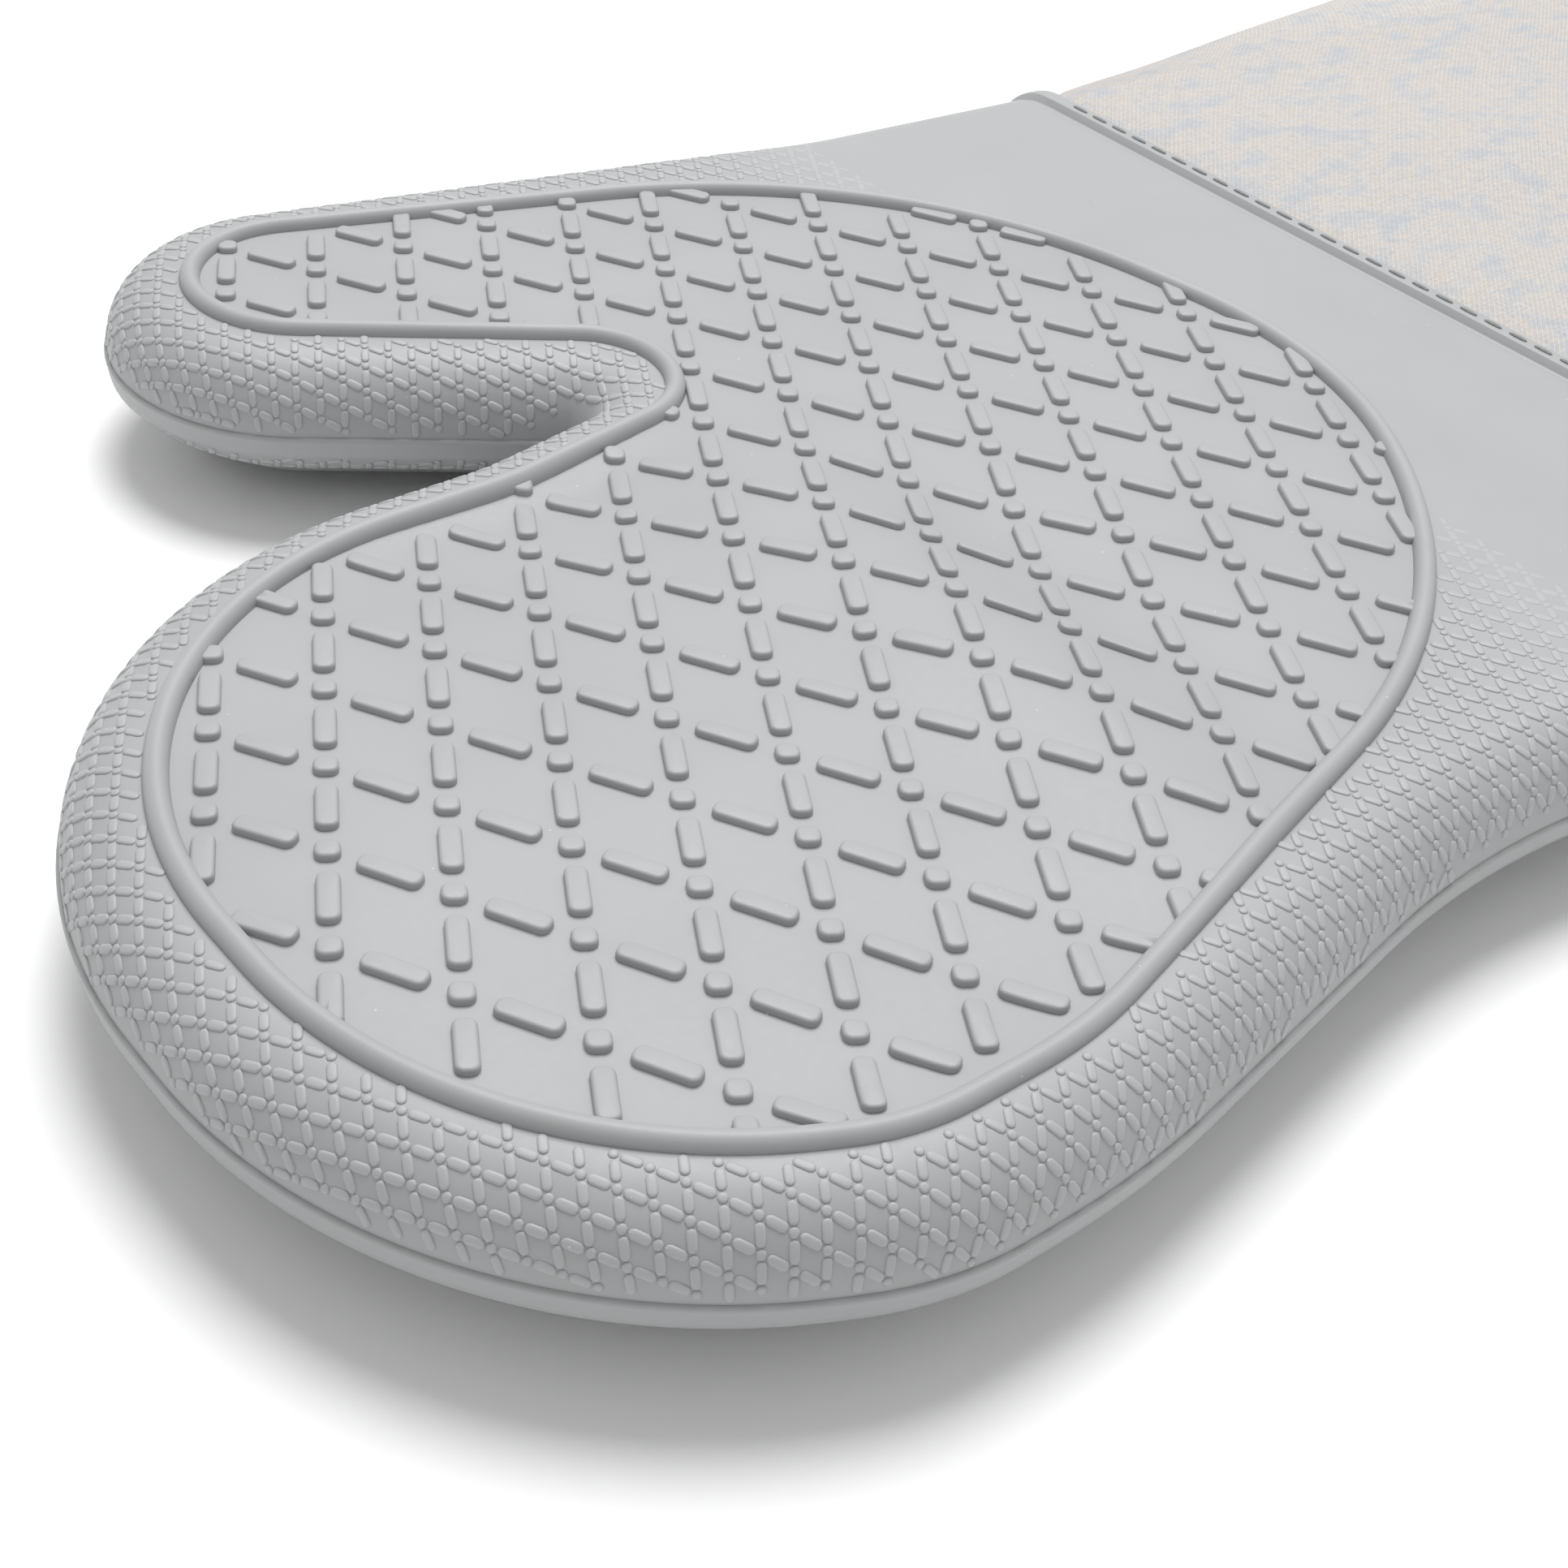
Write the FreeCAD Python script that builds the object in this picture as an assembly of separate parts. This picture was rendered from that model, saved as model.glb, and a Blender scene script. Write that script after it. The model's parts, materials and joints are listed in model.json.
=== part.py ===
import FreeCAD, Part
import math
import os

# Oven mitt: a moulded silicone glove over wadding and a cotton lining, with a fabric cuff.
# It lies flat with its palm face up: +Y to the fingertips, +X to the thumb, +Z up. All sizes in mm.
# The model is drawn from the wrist seam (y = 0, x = 0 at the middle of the wrist) and moved at the
# end so that the origin is the middle of the whole mitt, on the surface that it lies on.

os.makedirs("parts", exist_ok=True)
Vector = FreeCAD.Vector

# Glove outline, measured at the parting line
glove_length = 199.1
wrist_width = 160.0
lobe_right_x = 34.1
lobe_left_x = -83.3
lobe_shoulder_drop = 40.9
lobe_shoulder_angle = 63.7
lobe_side_radius = 34.6
lobe_left_radius = 56.9
lobe_right_radius = 56.3
lobe_bend_y = 128.0
lobe_bend_radius = 31.0
left_bend_y = 136.0
left_bend_radius = 100.0
waist_x = -72.2
waist_y = 80.0
waist_radius = 100.0
crotch_y = 105.6
crotch_radius = 2.0
thumb_centre_x = 78.0
thumb_centre_y = 123.2
thumb_radius = 24.2
thumb_inner_angle = 57.2
thumb_outer_angle = 77.0
thumb_root_y = 40.0
thumb_root_radius = 60.0

# Bead that frames the grip panel
bead_inset = 9.3
bead_thumb_inset = 10.5
bead_width = 2.5
bead_height = 1.5
bead_thumb_angle = 72.9
bead_crotch_drop = 27.2
bead_left_bend_y = 136.2
bead_left_bend_radius = 50.4
heel_right_y = 37.7
heel_right_radius = 70.3
heel_low_x = -5.3
heel_low_y = 24.8
heel_low_radius = 55.6
heel_left_x = -51.0
heel_left_y = 55.9
heel_left_radius = 87.2

# Thickness: parting line to the flat panel of each face, and the roundness of the edge
front_height = 9.0
back_height = 11.5
front_edge_radius = 7.8
back_edge_radius = 7.6

# Layers of the glove, from outside to inside
silicone_wall = 1.8
batting_thickness = 2.5
lining_thickness = 0.8
layer_gap = 0.1

# Lip round the silicone's wrist end
lip_width = 3.0
lip_height = 0.8

# Cuff
cuff_length = 112.0
hem_width = 184.0
hem_height = 24.0
cuff_step = 0.6
cuff_corner_radius = 8.5
cuff_fabric_thickness = 1.0
cuff_batting_thickness = 2.0
cuff_lining_thickness = 0.8
binding_width = 10.0
binding_thickness = 0.9

# Hanging loop of folded tape
loop_reach = 38.0
loop_height = 16.0
loop_tape_thickness = 1.4
loop_tape_width = 10.0
loop_from_side = 16.0
loop_gap = 0.4
tack_length = 4.0
tack_thickness = 0.8

# Stitches
stitch_pitch = 4.0
stitch_length = 2.8
stitch_width = 0.7
stitch_height = 0.4

# Joints: where the bodies part, the gap between them and how far they bend backwards
body_gap = 0.4
finger_hinge_y = 127.0
thumb_hinge_offset = 15.0
finger_back_angle = 10.0
cuff_back_angle = 15.0

# Construction sizes: lengths past the mitt, and the distance at which points count as one
reach = 400.0
wrist_run_out = 40.0
run_out_radius = 20.0
touching = 0.001

# Heights above the surface that the mitt lies on
parting_z = bead_height + back_height
panel_z = parting_z + front_height
top_z = panel_z + bead_height

# Angles of lines straight across and straight along the mitt, and the signs of its two faces
across = 0.0
upward = 90.0
front = 1
back = -1


def direction(angle):
    return Vector(math.cos(math.radians(angle)), math.sin(math.radians(angle)), 0)


def meet(point_a, angle_a, point_b, angle_b):
    """Point where two lines cross, each given by a point and an angle."""
    along_a = direction(angle_a)
    across_b = direction(angle_b + 90)
    step = (point_b - point_a).dot(across_b) / along_a.dot(across_b)
    return point_a + along_a * step


def rounded_outline(corners):
    """Closed flat wire of straight edges and tangent arcs. A corner is (x, y, radius)."""
    points = [Vector(x, y, 0) for x, y, radius in corners]
    edges = []
    arc_ends = []
    for index, corner in enumerate(corners):
        point = points[index]
        before = (points[index - 1] - point).normalize()
        after = (points[(index + 1) % len(points)] - point).normalize()
        half_angle = before.getAngle(after) / 2
        radius = corner[2]
        tangent = radius / math.tan(half_angle)
        inward = (before + after).normalize()
        middle = point + inward * (radius / math.sin(half_angle) - radius)
        arc_ends.append((point + before * tangent, middle, point + after * tangent))
    for index, (start, middle, end) in enumerate(arc_ends):
        edges.append(Part.Arc(start, middle, end).toShape())
        next_start = arc_ends[(index + 1) % len(arc_ends)][0]
        if (next_start - end).Length > touching:
            edges.append(Part.LineSegment(end, next_start).toShape())
    return Part.Wire(edges)


def thumb_corners(radius, outer_angle):
    """The two corners of a round thumb tip, and its inner and outer side lines."""
    centre = Vector(thumb_centre_x, thumb_centre_y, 0)
    inner_point = centre + direction(thumb_inner_angle + 90) * radius
    outer_point = centre + direction(outer_angle - 90) * radius
    tip_angle = (thumb_inner_angle + outer_angle) / 2
    tip_point = centre + direction(tip_angle) * radius
    tip_inner = meet(inner_point, thumb_inner_angle, tip_point, tip_angle + 90)
    tip_outer = meet(outer_point, outer_angle, tip_point, tip_angle + 90)
    corners = [(tip_inner.x, tip_inner.y, radius), (tip_outer.x, tip_outer.y, radius)]
    return corners, inner_point, outer_point


def lobe_corners(inset):
    """Corners of the finger lobe's rounded end, set in from the glove's edge by inset."""
    left_x = lobe_left_x + inset
    right_x = lobe_right_x - inset
    tip = Vector(0, glove_length - inset, 0)
    shoulder = Vector(lobe_left_x, glove_length - lobe_shoulder_drop, 0)
    shoulder = shoulder + direction(lobe_shoulder_angle - 90) * inset
    low = meet(shoulder, lobe_shoulder_angle, Vector(left_x, 0, 0), upward)
    high = meet(shoulder, lobe_shoulder_angle, tip, across)
    return [
        (low.x, low.y, lobe_side_radius - inset),
        (high.x, high.y, lobe_left_radius - inset),
        (right_x, tip.y, lobe_right_radius - inset),
        (right_x, lobe_bend_y, lobe_bend_radius + inset),
    ]


def glove_outline():
    """Outer edge of the glove at the parting line. It runs on past the wrist, to be cut there."""
    tip_corners, inner_point, outer_point = thumb_corners(thumb_radius, thumb_outer_angle)
    crotch = meet(inner_point, thumb_inner_angle, Vector(0, crotch_y, 0), across)
    root = meet(outer_point, thumb_outer_angle, Vector(0, thumb_root_y, 0), across)
    half_wrist = wrist_width / 2
    return rounded_outline([
        *lobe_corners(0),
        (crotch.x, crotch.y, crotch_radius),
        *tip_corners,
        (root.x, root.y, thumb_root_radius),
        (half_wrist, 0, thumb_root_radius),
        (half_wrist, -wrist_run_out, run_out_radius),
        (-half_wrist, -wrist_run_out, run_out_radius),
        (-half_wrist, 0, left_bend_radius),
        (waist_x, waist_y, waist_radius),
        (lobe_left_x, left_bend_y, left_bend_radius),
    ])


def bead_outline():
    """Middle line of the bead: inside the glove's edge at the fingers and thumb, then a heel."""
    radius = thumb_radius - bead_thumb_inset
    tip_corners, inner_point, outer_point = thumb_corners(radius, bead_thumb_angle)
    crotch_point = Vector(0, crotch_y - bead_crotch_drop, 0)
    crotch = meet(inner_point, thumb_inner_angle, crotch_point, across)
    heel_right = meet(outer_point, bead_thumb_angle, Vector(0, heel_right_y, 0), across)
    return rounded_outline([
        *lobe_corners(bead_inset),
        (crotch.x, crotch.y, crotch_radius + bead_inset),
        *tip_corners,
        (heel_right.x, heel_right.y, heel_right_radius),
        (heel_low_x, heel_low_y, heel_low_radius),
        (heel_left_x, heel_left_y, heel_left_radius),
        (lobe_left_x + bead_inset, bead_left_bend_y, bead_left_bend_radius),
    ])


def box(low_corner, high_corner):
    size = high_corner - low_corner
    return Part.makeBox(size.x, size.y, size.z, low_corner)


def ring_face(outline, width):
    """Flat face between an outline and the same outline set in by width."""
    return Part.Face(outline).cut(Part.Face(outline.makeOffset2D(-width)))


def prism(points, travel):
    """Solid swept along travel from a flat polygon."""
    return Part.Face(Part.makePolygon(points + points[:1])).extrude(travel)


# ---------------------------------------------------------------- where the bodies part

def divider_point(y):
    """Point between the finger lobe and the thumb, on a line up from the crotch."""
    tip_corners, inner_point, outer_point = thumb_corners(thumb_radius, thumb_outer_angle)
    crotch = meet(inner_point, thumb_inner_angle, Vector(0, crotch_y, 0), across)
    lobe_bend = Vector(lobe_right_x, lobe_bend_y, 0)
    lobe_angle = math.degrees(math.atan2(lobe_bend.y - crotch.y, lobe_bend.x - crotch.x))
    return meet(crotch, (lobe_angle + thumb_inner_angle) / 2, Vector(0, y, 0), across)


def thumb_hinge():
    """Start and direction of the thumb's hinge line, square to the thumb."""
    thumb_angle = (thumb_inner_angle + thumb_outer_angle) / 2
    start = divider_point(crotch_y + crotch_radius) + direction(thumb_angle) * thumb_hinge_offset
    return start, thumb_angle - 90


def fingers_block():
    """Everything beyond the knuckle line, on the fingers' side of the divider."""
    near = divider_point(finger_hinge_y)
    far = divider_point(reach)
    corners = [near, far, Vector(-reach, reach, 0), Vector(-reach, finger_hinge_y, 0)]
    return prism([point - Vector(0, 0, reach) for point in corners], Vector(0, 0, 2 * reach))


def thumb_block():
    """Everything beyond the thumb's hinge line, on the thumb's side of the divider."""
    start, angle = thumb_hinge()
    corners = [start, start + direction(angle) * reach, Vector(reach, reach, 0), divider_point(reach)]
    return prism([point - Vector(0, 0, reach) for point in corners], Vector(0, 0, 2 * reach))


def flex_gap(start, axis, away, back_angle):
    """Gap beside a hinge line that lies on the front. It widens to the back for bending backwards."""
    low_z = -lip_height
    high_z = top_z + lip_height
    spread = (top_z - low_z) * math.tan(math.radians(back_angle))
    profile = [(0, high_z), (body_gap, high_z), (body_gap, top_z), (body_gap + spread, low_z), (0, low_z)]
    points = [start + away * step + Vector(0, 0, z) for step, z in profile]
    return prism(points, axis * reach)


def finger_gap():
    return flex_gap(divider_point(finger_hinge_y), Vector(-1, 0, 0), Vector(0, -1, 0), finger_back_angle)


def thumb_gap():
    start, angle = thumb_hinge()
    return flex_gap(start, direction(angle), direction(angle - 90), finger_back_angle)


def cuff_gap():
    start = Vector(-reach / 2, 0, 0)
    return flex_gap(start, Vector(1, 0, 0), Vector(0, -1, 0), cuff_back_angle)


# ---------------------------------------------------------------- glove

def face_sizes(facing):
    """Height of the panel from the parting plane, and radius of the edge, of one face."""
    if facing == front:
        return front_height, front_edge_radius
    return back_height, back_edge_radius


def dome(depth, facing):
    """Solid from the parting plane to one face, its edge rounded; depth is how far inside it lies."""
    height, edge_radius = face_sizes(facing)
    wire = glove_outline()
    if depth != 0:
        wire = wire.makeOffset2D(-depth)
    wire.translate(Vector(0, 0, parting_z))
    block = Part.Face(wire).extrude(Vector(0, 0, facing * (height - depth)))
    face_z = parting_z + facing * (height - depth)
    rim = [edge for edge in block.Edges if abs(edge.CenterOfMass.z - face_z) < touching]
    return block.makeFillet(edge_radius - depth, rim)


def layer(depth, thickness, facing):
    return dome(depth, facing).cut(dome(depth + thickness, facing))


def bead(facing):
    """Raised ring round the grip panel, with its crest rounded."""
    height = face_sizes(facing)[0]
    ring = ring_face(bead_outline().makeOffset2D(bead_width / 2), bead_width)
    ring.translate(Vector(0, 0, parting_z + facing * height))
    solid = ring.extrude(Vector(0, 0, facing * bead_height))
    crest_z = parting_z + facing * (height + bead_height)
    crest = [edge for edge in solid.Edges if abs(edge.CenterOfMass.z - crest_z) < touching]
    return solid.makeFillet(bead_height / 2, crest)


def wrist_lip(facing):
    """Raised band round the silicone's open end."""
    band = box(Vector(-reach, 0, -reach), Vector(reach, lip_width, reach))
    return dome(-lip_height, facing).cut(dome(0, facing)).common(band)


def silicone(facing):
    return layer(0, silicone_wall, facing).fuse([bead(facing), wrist_lip(facing)])


def batting(facing):
    return layer(silicone_wall + layer_gap, batting_thickness, facing)


def lining(facing):
    return layer(silicone_wall + batting_thickness + 2 * layer_gap, lining_thickness, facing)


def glove_pieces():
    """Each layer of each face, parted into fingers, thumb and palm."""
    fingers = fingers_block()
    thumb = thumb_block()
    past_wrist = box(Vector(-reach, -reach, -reach), Vector(reach, 0, reach))
    not_palm = [fingers, thumb, finger_gap(), thumb_gap(), past_wrist]
    pieces = {}
    for layer_name, make_layer in [("shell", silicone), ("batting", batting), ("lining", lining)]:
        for face_name, facing in [("front", front), ("back", back)]:
            whole = make_layer(facing)
            pieces[f"fingers_{layer_name}_{face_name}"] = whole.common(fingers)
            pieces[f"thumb_{layer_name}_{face_name}"] = whole.common(thumb)
            pieces[f"palm_{layer_name}_{face_name}"] = whole.cut(not_palm)
    return pieces


# ---------------------------------------------------------------- cuff

def cuff_limits(y):
    """Half width, lowest and highest point of the cuff's outside, which widens to the hem."""
    share = -y / cuff_length
    seam_half = wrist_width / 2 - cuff_step
    seam_low = bead_height + cuff_step
    seam_high = panel_z - cuff_step
    hem_low = binding_thickness + stitch_height
    half = seam_half + share * (hem_width / 2 - seam_half)
    low = seam_low + share * (hem_low - seam_low)
    high = seam_high + share * (hem_low + hem_height - seam_high)
    return half, low, high


def cuff_section(y, depth):
    """Rounded rectangle across the cuff at y, set in by depth."""
    half, low, high = cuff_limits(y)
    radius = cuff_corner_radius - depth
    side = half - depth
    corners = [(side, high - depth, radius), (side, low + depth, radius)]
    corners += [(-side, low + depth, radius), (-side, high - depth, radius)]
    wire = rounded_outline(corners)
    wire.rotate(Vector(0, 0, 0), Vector(1, 0, 0), 90)
    wire.translate(Vector(0, y, 0))
    return wire


def cuff_block(start_y, end_y, depth):
    return Part.makeLoft([cuff_section(start_y, depth), cuff_section(end_y, depth)], True, True)


def cuff_tube(start_y, end_y, depth, thickness):
    return cuff_block(start_y, end_y, depth).cut(cuff_block(start_y, end_y, depth + thickness))


cuff_layers = [
    ("fabric", 0, cuff_fabric_thickness),
    ("batting", cuff_fabric_thickness + layer_gap, cuff_batting_thickness),
    ("lining", cuff_fabric_thickness + cuff_batting_thickness + 2 * layer_gap, cuff_lining_thickness),
]
cuff_wall = cuff_layers[-1][1] + cuff_layers[-1][2]


def cuff_pieces():
    gap = cuff_gap()
    front_side = box(Vector(-reach, -reach, parting_z), Vector(reach, reach, reach))
    pieces = {}
    for layer_name, depth, thickness in cuff_layers:
        tube = cuff_tube(0, -cuff_length, depth, thickness).cut(gap)
        pieces[f"cuff_{layer_name}_front"] = tube.common(front_side)
        pieces[f"cuff_{layer_name}_back"] = tube.cut(front_side)
    return pieces


def hem_binding():
    """Tape folded over the raw edge of all the cuff's layers."""
    start_y = binding_width - cuff_length
    end_y = -cuff_length - binding_thickness
    folded = cuff_tube(start_y, end_y, -binding_thickness, cuff_wall + 2 * binding_thickness)
    return folded.cut(cuff_tube(start_y, -cuff_length, 0, cuff_wall))


def stitch_row(y, half_length, surface_z, facing):
    """Row of thread lengths across the mitt, lying on a surface."""
    count = int(2 * half_length / stitch_pitch)
    first_x = -(count - 1) * stitch_pitch / 2
    height = facing * stitch_height
    low_z = min(surface_z, surface_z + height)
    row = []
    for index in range(count):
        middle_x = first_x + index * stitch_pitch
        low_corner = Vector(middle_x - stitch_length / 2, y - stitch_width / 2, low_z)
        row.append(Part.makeBox(stitch_length, stitch_width, stitch_height, low_corner))
    return row


def wrist_stitches():
    """Thread that holds the cuff to the silicone lip, on both faces."""
    rows = []
    for facing in (front, back):
        height, edge_radius = face_sizes(facing)
        surface_z = parting_z + facing * (height + lip_height)
        half_length = wrist_width / 2 - edge_radius - stitch_pitch
        rows += stitch_row(lip_width / 2, half_length, surface_z, facing)
    return Part.makeCompound(rows)


def hem_stitches():
    """Thread of the hem binding, on both faces."""
    y = binding_width - cuff_length - stitch_pitch / 2
    half, low, high = cuff_limits(y)
    half_length = half - cuff_corner_radius - stitch_pitch
    rows = stitch_row(y, half_length, high + binding_thickness + layer_gap, front)
    rows += stitch_row(y, half_length, low - binding_thickness, back)
    return Part.makeCompound(rows)


# ---------------------------------------------------------------- hanging loop

def loop_pivot():
    """Middle of the loop's rounded root, where it swings at the hem."""
    half, low, high = cuff_limits(-cuff_length)
    y = -cuff_length - binding_thickness - loop_gap - loop_tape_thickness
    return Vector(half - loop_from_side, y, (low + high) / 2)


def hanging_loop():
    """Tape folded back on itself; the hook goes through it along X."""
    pivot = loop_pivot()
    end_y = -cuff_length - loop_reach
    root_y = pivot.y + loop_tape_thickness
    root_half = loop_tape_thickness
    root_bow = loop_tape_thickness - touching
    half = loop_height / 2
    bow = half - loop_tape_thickness
    corners = [(end_y, half, bow), (root_y, root_half, root_bow)]
    corners += [(root_y, -root_half, root_bow), (end_y, -half, bow)]
    ring = ring_face(rounded_outline(corners), loop_tape_thickness)
    tape = ring.extrude(Vector(0, 0, loop_tape_width))
    tape.rotate(Vector(0, 0, 0), Vector(1, 1, 1), 120)
    tape.translate(Vector(pivot.x - loop_tape_width / 2, 0, pivot.z))
    return tape


def loop_tack():
    """Bar of thread over the hem binding that holds the loop's ends."""
    pivot = loop_pivot()
    y = -cuff_length + tack_length / 2
    high = cuff_limits(y)[2] + binding_thickness + layer_gap
    half_width = loop_tape_width / 2
    low_corner = Vector(pivot.x - half_width, y - tack_length / 2, high)
    high_corner = Vector(pivot.x + half_width, y + tack_length / 2, high + tack_thickness)
    return box(low_corner, high_corner)


# ---------------------------------------------------------------- the whole mitt

nodes = glove_pieces()
nodes.update(cuff_pieces())
nodes["hem_binding"] = hem_binding()
nodes["wrist_stitches"] = wrist_stitches()
nodes["hem_stitches"] = hem_stitches()
nodes["hanging_loop"] = hanging_loop()
nodes["loop_tack"] = loop_tack()

whole_box = Part.makeCompound(list(nodes.values())).optimalBoundingBox()
to_origin = Vector(-whole_box.Center.x, -whole_box.Center.y, -whole_box.ZMin)
for node_name, shape in nodes.items():
    shape.translate(to_origin)
    shape.exportStep(f"parts/{node_name}.step")
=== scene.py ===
import bpy
import json
import math
import numpy as np
from mathutils import Matrix, Vector, geometry


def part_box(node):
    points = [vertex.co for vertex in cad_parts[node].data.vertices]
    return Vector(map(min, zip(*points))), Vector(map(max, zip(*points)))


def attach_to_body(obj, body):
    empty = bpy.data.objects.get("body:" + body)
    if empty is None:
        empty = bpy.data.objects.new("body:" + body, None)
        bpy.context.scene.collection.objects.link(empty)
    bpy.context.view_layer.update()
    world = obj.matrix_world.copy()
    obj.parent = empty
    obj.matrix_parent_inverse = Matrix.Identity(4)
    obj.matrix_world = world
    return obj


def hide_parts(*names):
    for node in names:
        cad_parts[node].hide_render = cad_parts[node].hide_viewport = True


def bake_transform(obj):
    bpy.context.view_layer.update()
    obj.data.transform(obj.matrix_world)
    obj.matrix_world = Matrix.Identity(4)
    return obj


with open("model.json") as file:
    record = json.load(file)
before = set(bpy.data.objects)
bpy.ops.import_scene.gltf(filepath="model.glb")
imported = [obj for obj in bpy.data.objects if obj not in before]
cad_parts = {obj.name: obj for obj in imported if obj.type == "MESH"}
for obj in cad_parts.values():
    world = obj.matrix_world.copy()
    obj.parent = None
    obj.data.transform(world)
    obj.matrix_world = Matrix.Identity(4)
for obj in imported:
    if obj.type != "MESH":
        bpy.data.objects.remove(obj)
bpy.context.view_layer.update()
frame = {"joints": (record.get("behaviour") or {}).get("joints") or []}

# Looks of the oven mitt. Shapes are worked out in millimetres from the wrist seam (y = 0) and the
# middle of the wrist (x = 0), with z up from the surface that the mitt lies on, and are moved into
# the CAD frame, in metres, when a mesh is made.

MM = 0.001

# ------------------------------------------------------------------ places read from the CAD frame

palm_low, palm_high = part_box("palm_shell_front")
hem_low, hem_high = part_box("hem_binding")
SEAM_Y = palm_low.y / MM
MIDDLE_X = (hem_low.x + hem_high.x) / 2 / MM
TO_FRAME = np.array([MIDDLE_X, SEAM_Y, 0.0])
PARTING_Z = palm_low.z / MM
TOP_Z = palm_high.z / MM
JOINTS = {joint["name"]: joint for joint in frame["joints"]}

# ------------------------------------------------------------------ sizes, as in the CAD part

GLOVE_LENGTH = 199.1
WRIST_WIDTH = 160.0
LOBE_LEFT_X = -83.3
LOBE_RIGHT_X = 34.1
LOBE_SHOULDER_DROP = 40.9
LOBE_SHOULDER_ANGLE = 63.7
LOBE_RADII = [34.6, 56.9, 56.3]
LOBE_BEND = (128.0, 31.0)
LEFT_BEND = (136.0, 100.0)
WAIST = (-72.2, 80.0, 100.0)
CROTCH_Y = 105.6
CROTCH_RADIUS = 2.0
THUMB_CENTRE = np.array([78.0, 123.2])
THUMB_RADIUS = 24.2
THUMB_INNER_ANGLE = 57.2
THUMB_OUTER_ANGLE = 77.0
THUMB_ROOT_Y = 40.0
THUMB_ROOT_RADIUS = 60.0
BEAD_INSET = 9.3
BEAD_THUMB_INSET = 10.5
BEAD_WIDTH = 2.5
BEAD_HEIGHT = 1.5
BEAD_THUMB_ANGLE = 72.9
BEAD_CROTCH_Y = 78.4
BEAD_HEEL = [(-5.3, 24.8, 55.6), (-51.0, 55.9, 87.2)]
BEAD_HEEL_RIGHT = (37.7, 70.3)
BEAD_LEFT_BEND = (136.2, 50.4)
FRONT_HEIGHT = TOP_Z - BEAD_HEIGHT - PARTING_Z
BACK_HEIGHT = PARTING_Z - BEAD_HEIGHT
SILICONE_WALL = 1.8
WADDING_DEPTH = 1.9
LINING_DEPTH = 4.5
LINING_THICKNESS = 0.8
LIP_WIDTH = 3.0
LIP_HEIGHT = 0.8
CUFF_LENGTH = 112.0
HEM_HALF_WIDTH = 92.0
CUFF_STEP = 0.6
CUFF_FABRIC = 1.0
CUFF_WADDING_DEPTH = 1.1
CUFF_LINING_DEPTH = 3.2
CUFF_WALL = 4.0
BINDING_THICKNESS = 0.9
STITCH_PITCH = 4.0
STITCH_LENGTH = 2.8

# Roundness of the moulded edge: how far in it reaches and the power of its curve
EDGE_WIDTH = 8.4
EDGE_POWER = 2.15
BACK_EDGE_WIDTH = 30.0
BACK_EDGE_POWER = 2.0

FRONT = 1
BACK = -1
FACES = {"front": FRONT, "back": BACK}


# ------------------------------------------------------------------ flat outlines

def unit(angle):
    return np.array([math.cos(math.radians(angle)), math.sin(math.radians(angle))])


def ease(value, low, high):
    """0 below low, 1 above high, smooth between."""
    share = np.clip((value - low) / (high - low), 0.0, 1.0)
    return share * share * (3 - 2 * share)


def meet(point_a, angle_a, point_b, angle_b):
    """Point where two lines cross, each given by a point and an angle."""
    across_b = unit(angle_b + 90)
    step = np.dot(point_b - point_a, across_b) / np.dot(unit(angle_a), across_b)
    return point_a + unit(angle_a) * step


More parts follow.
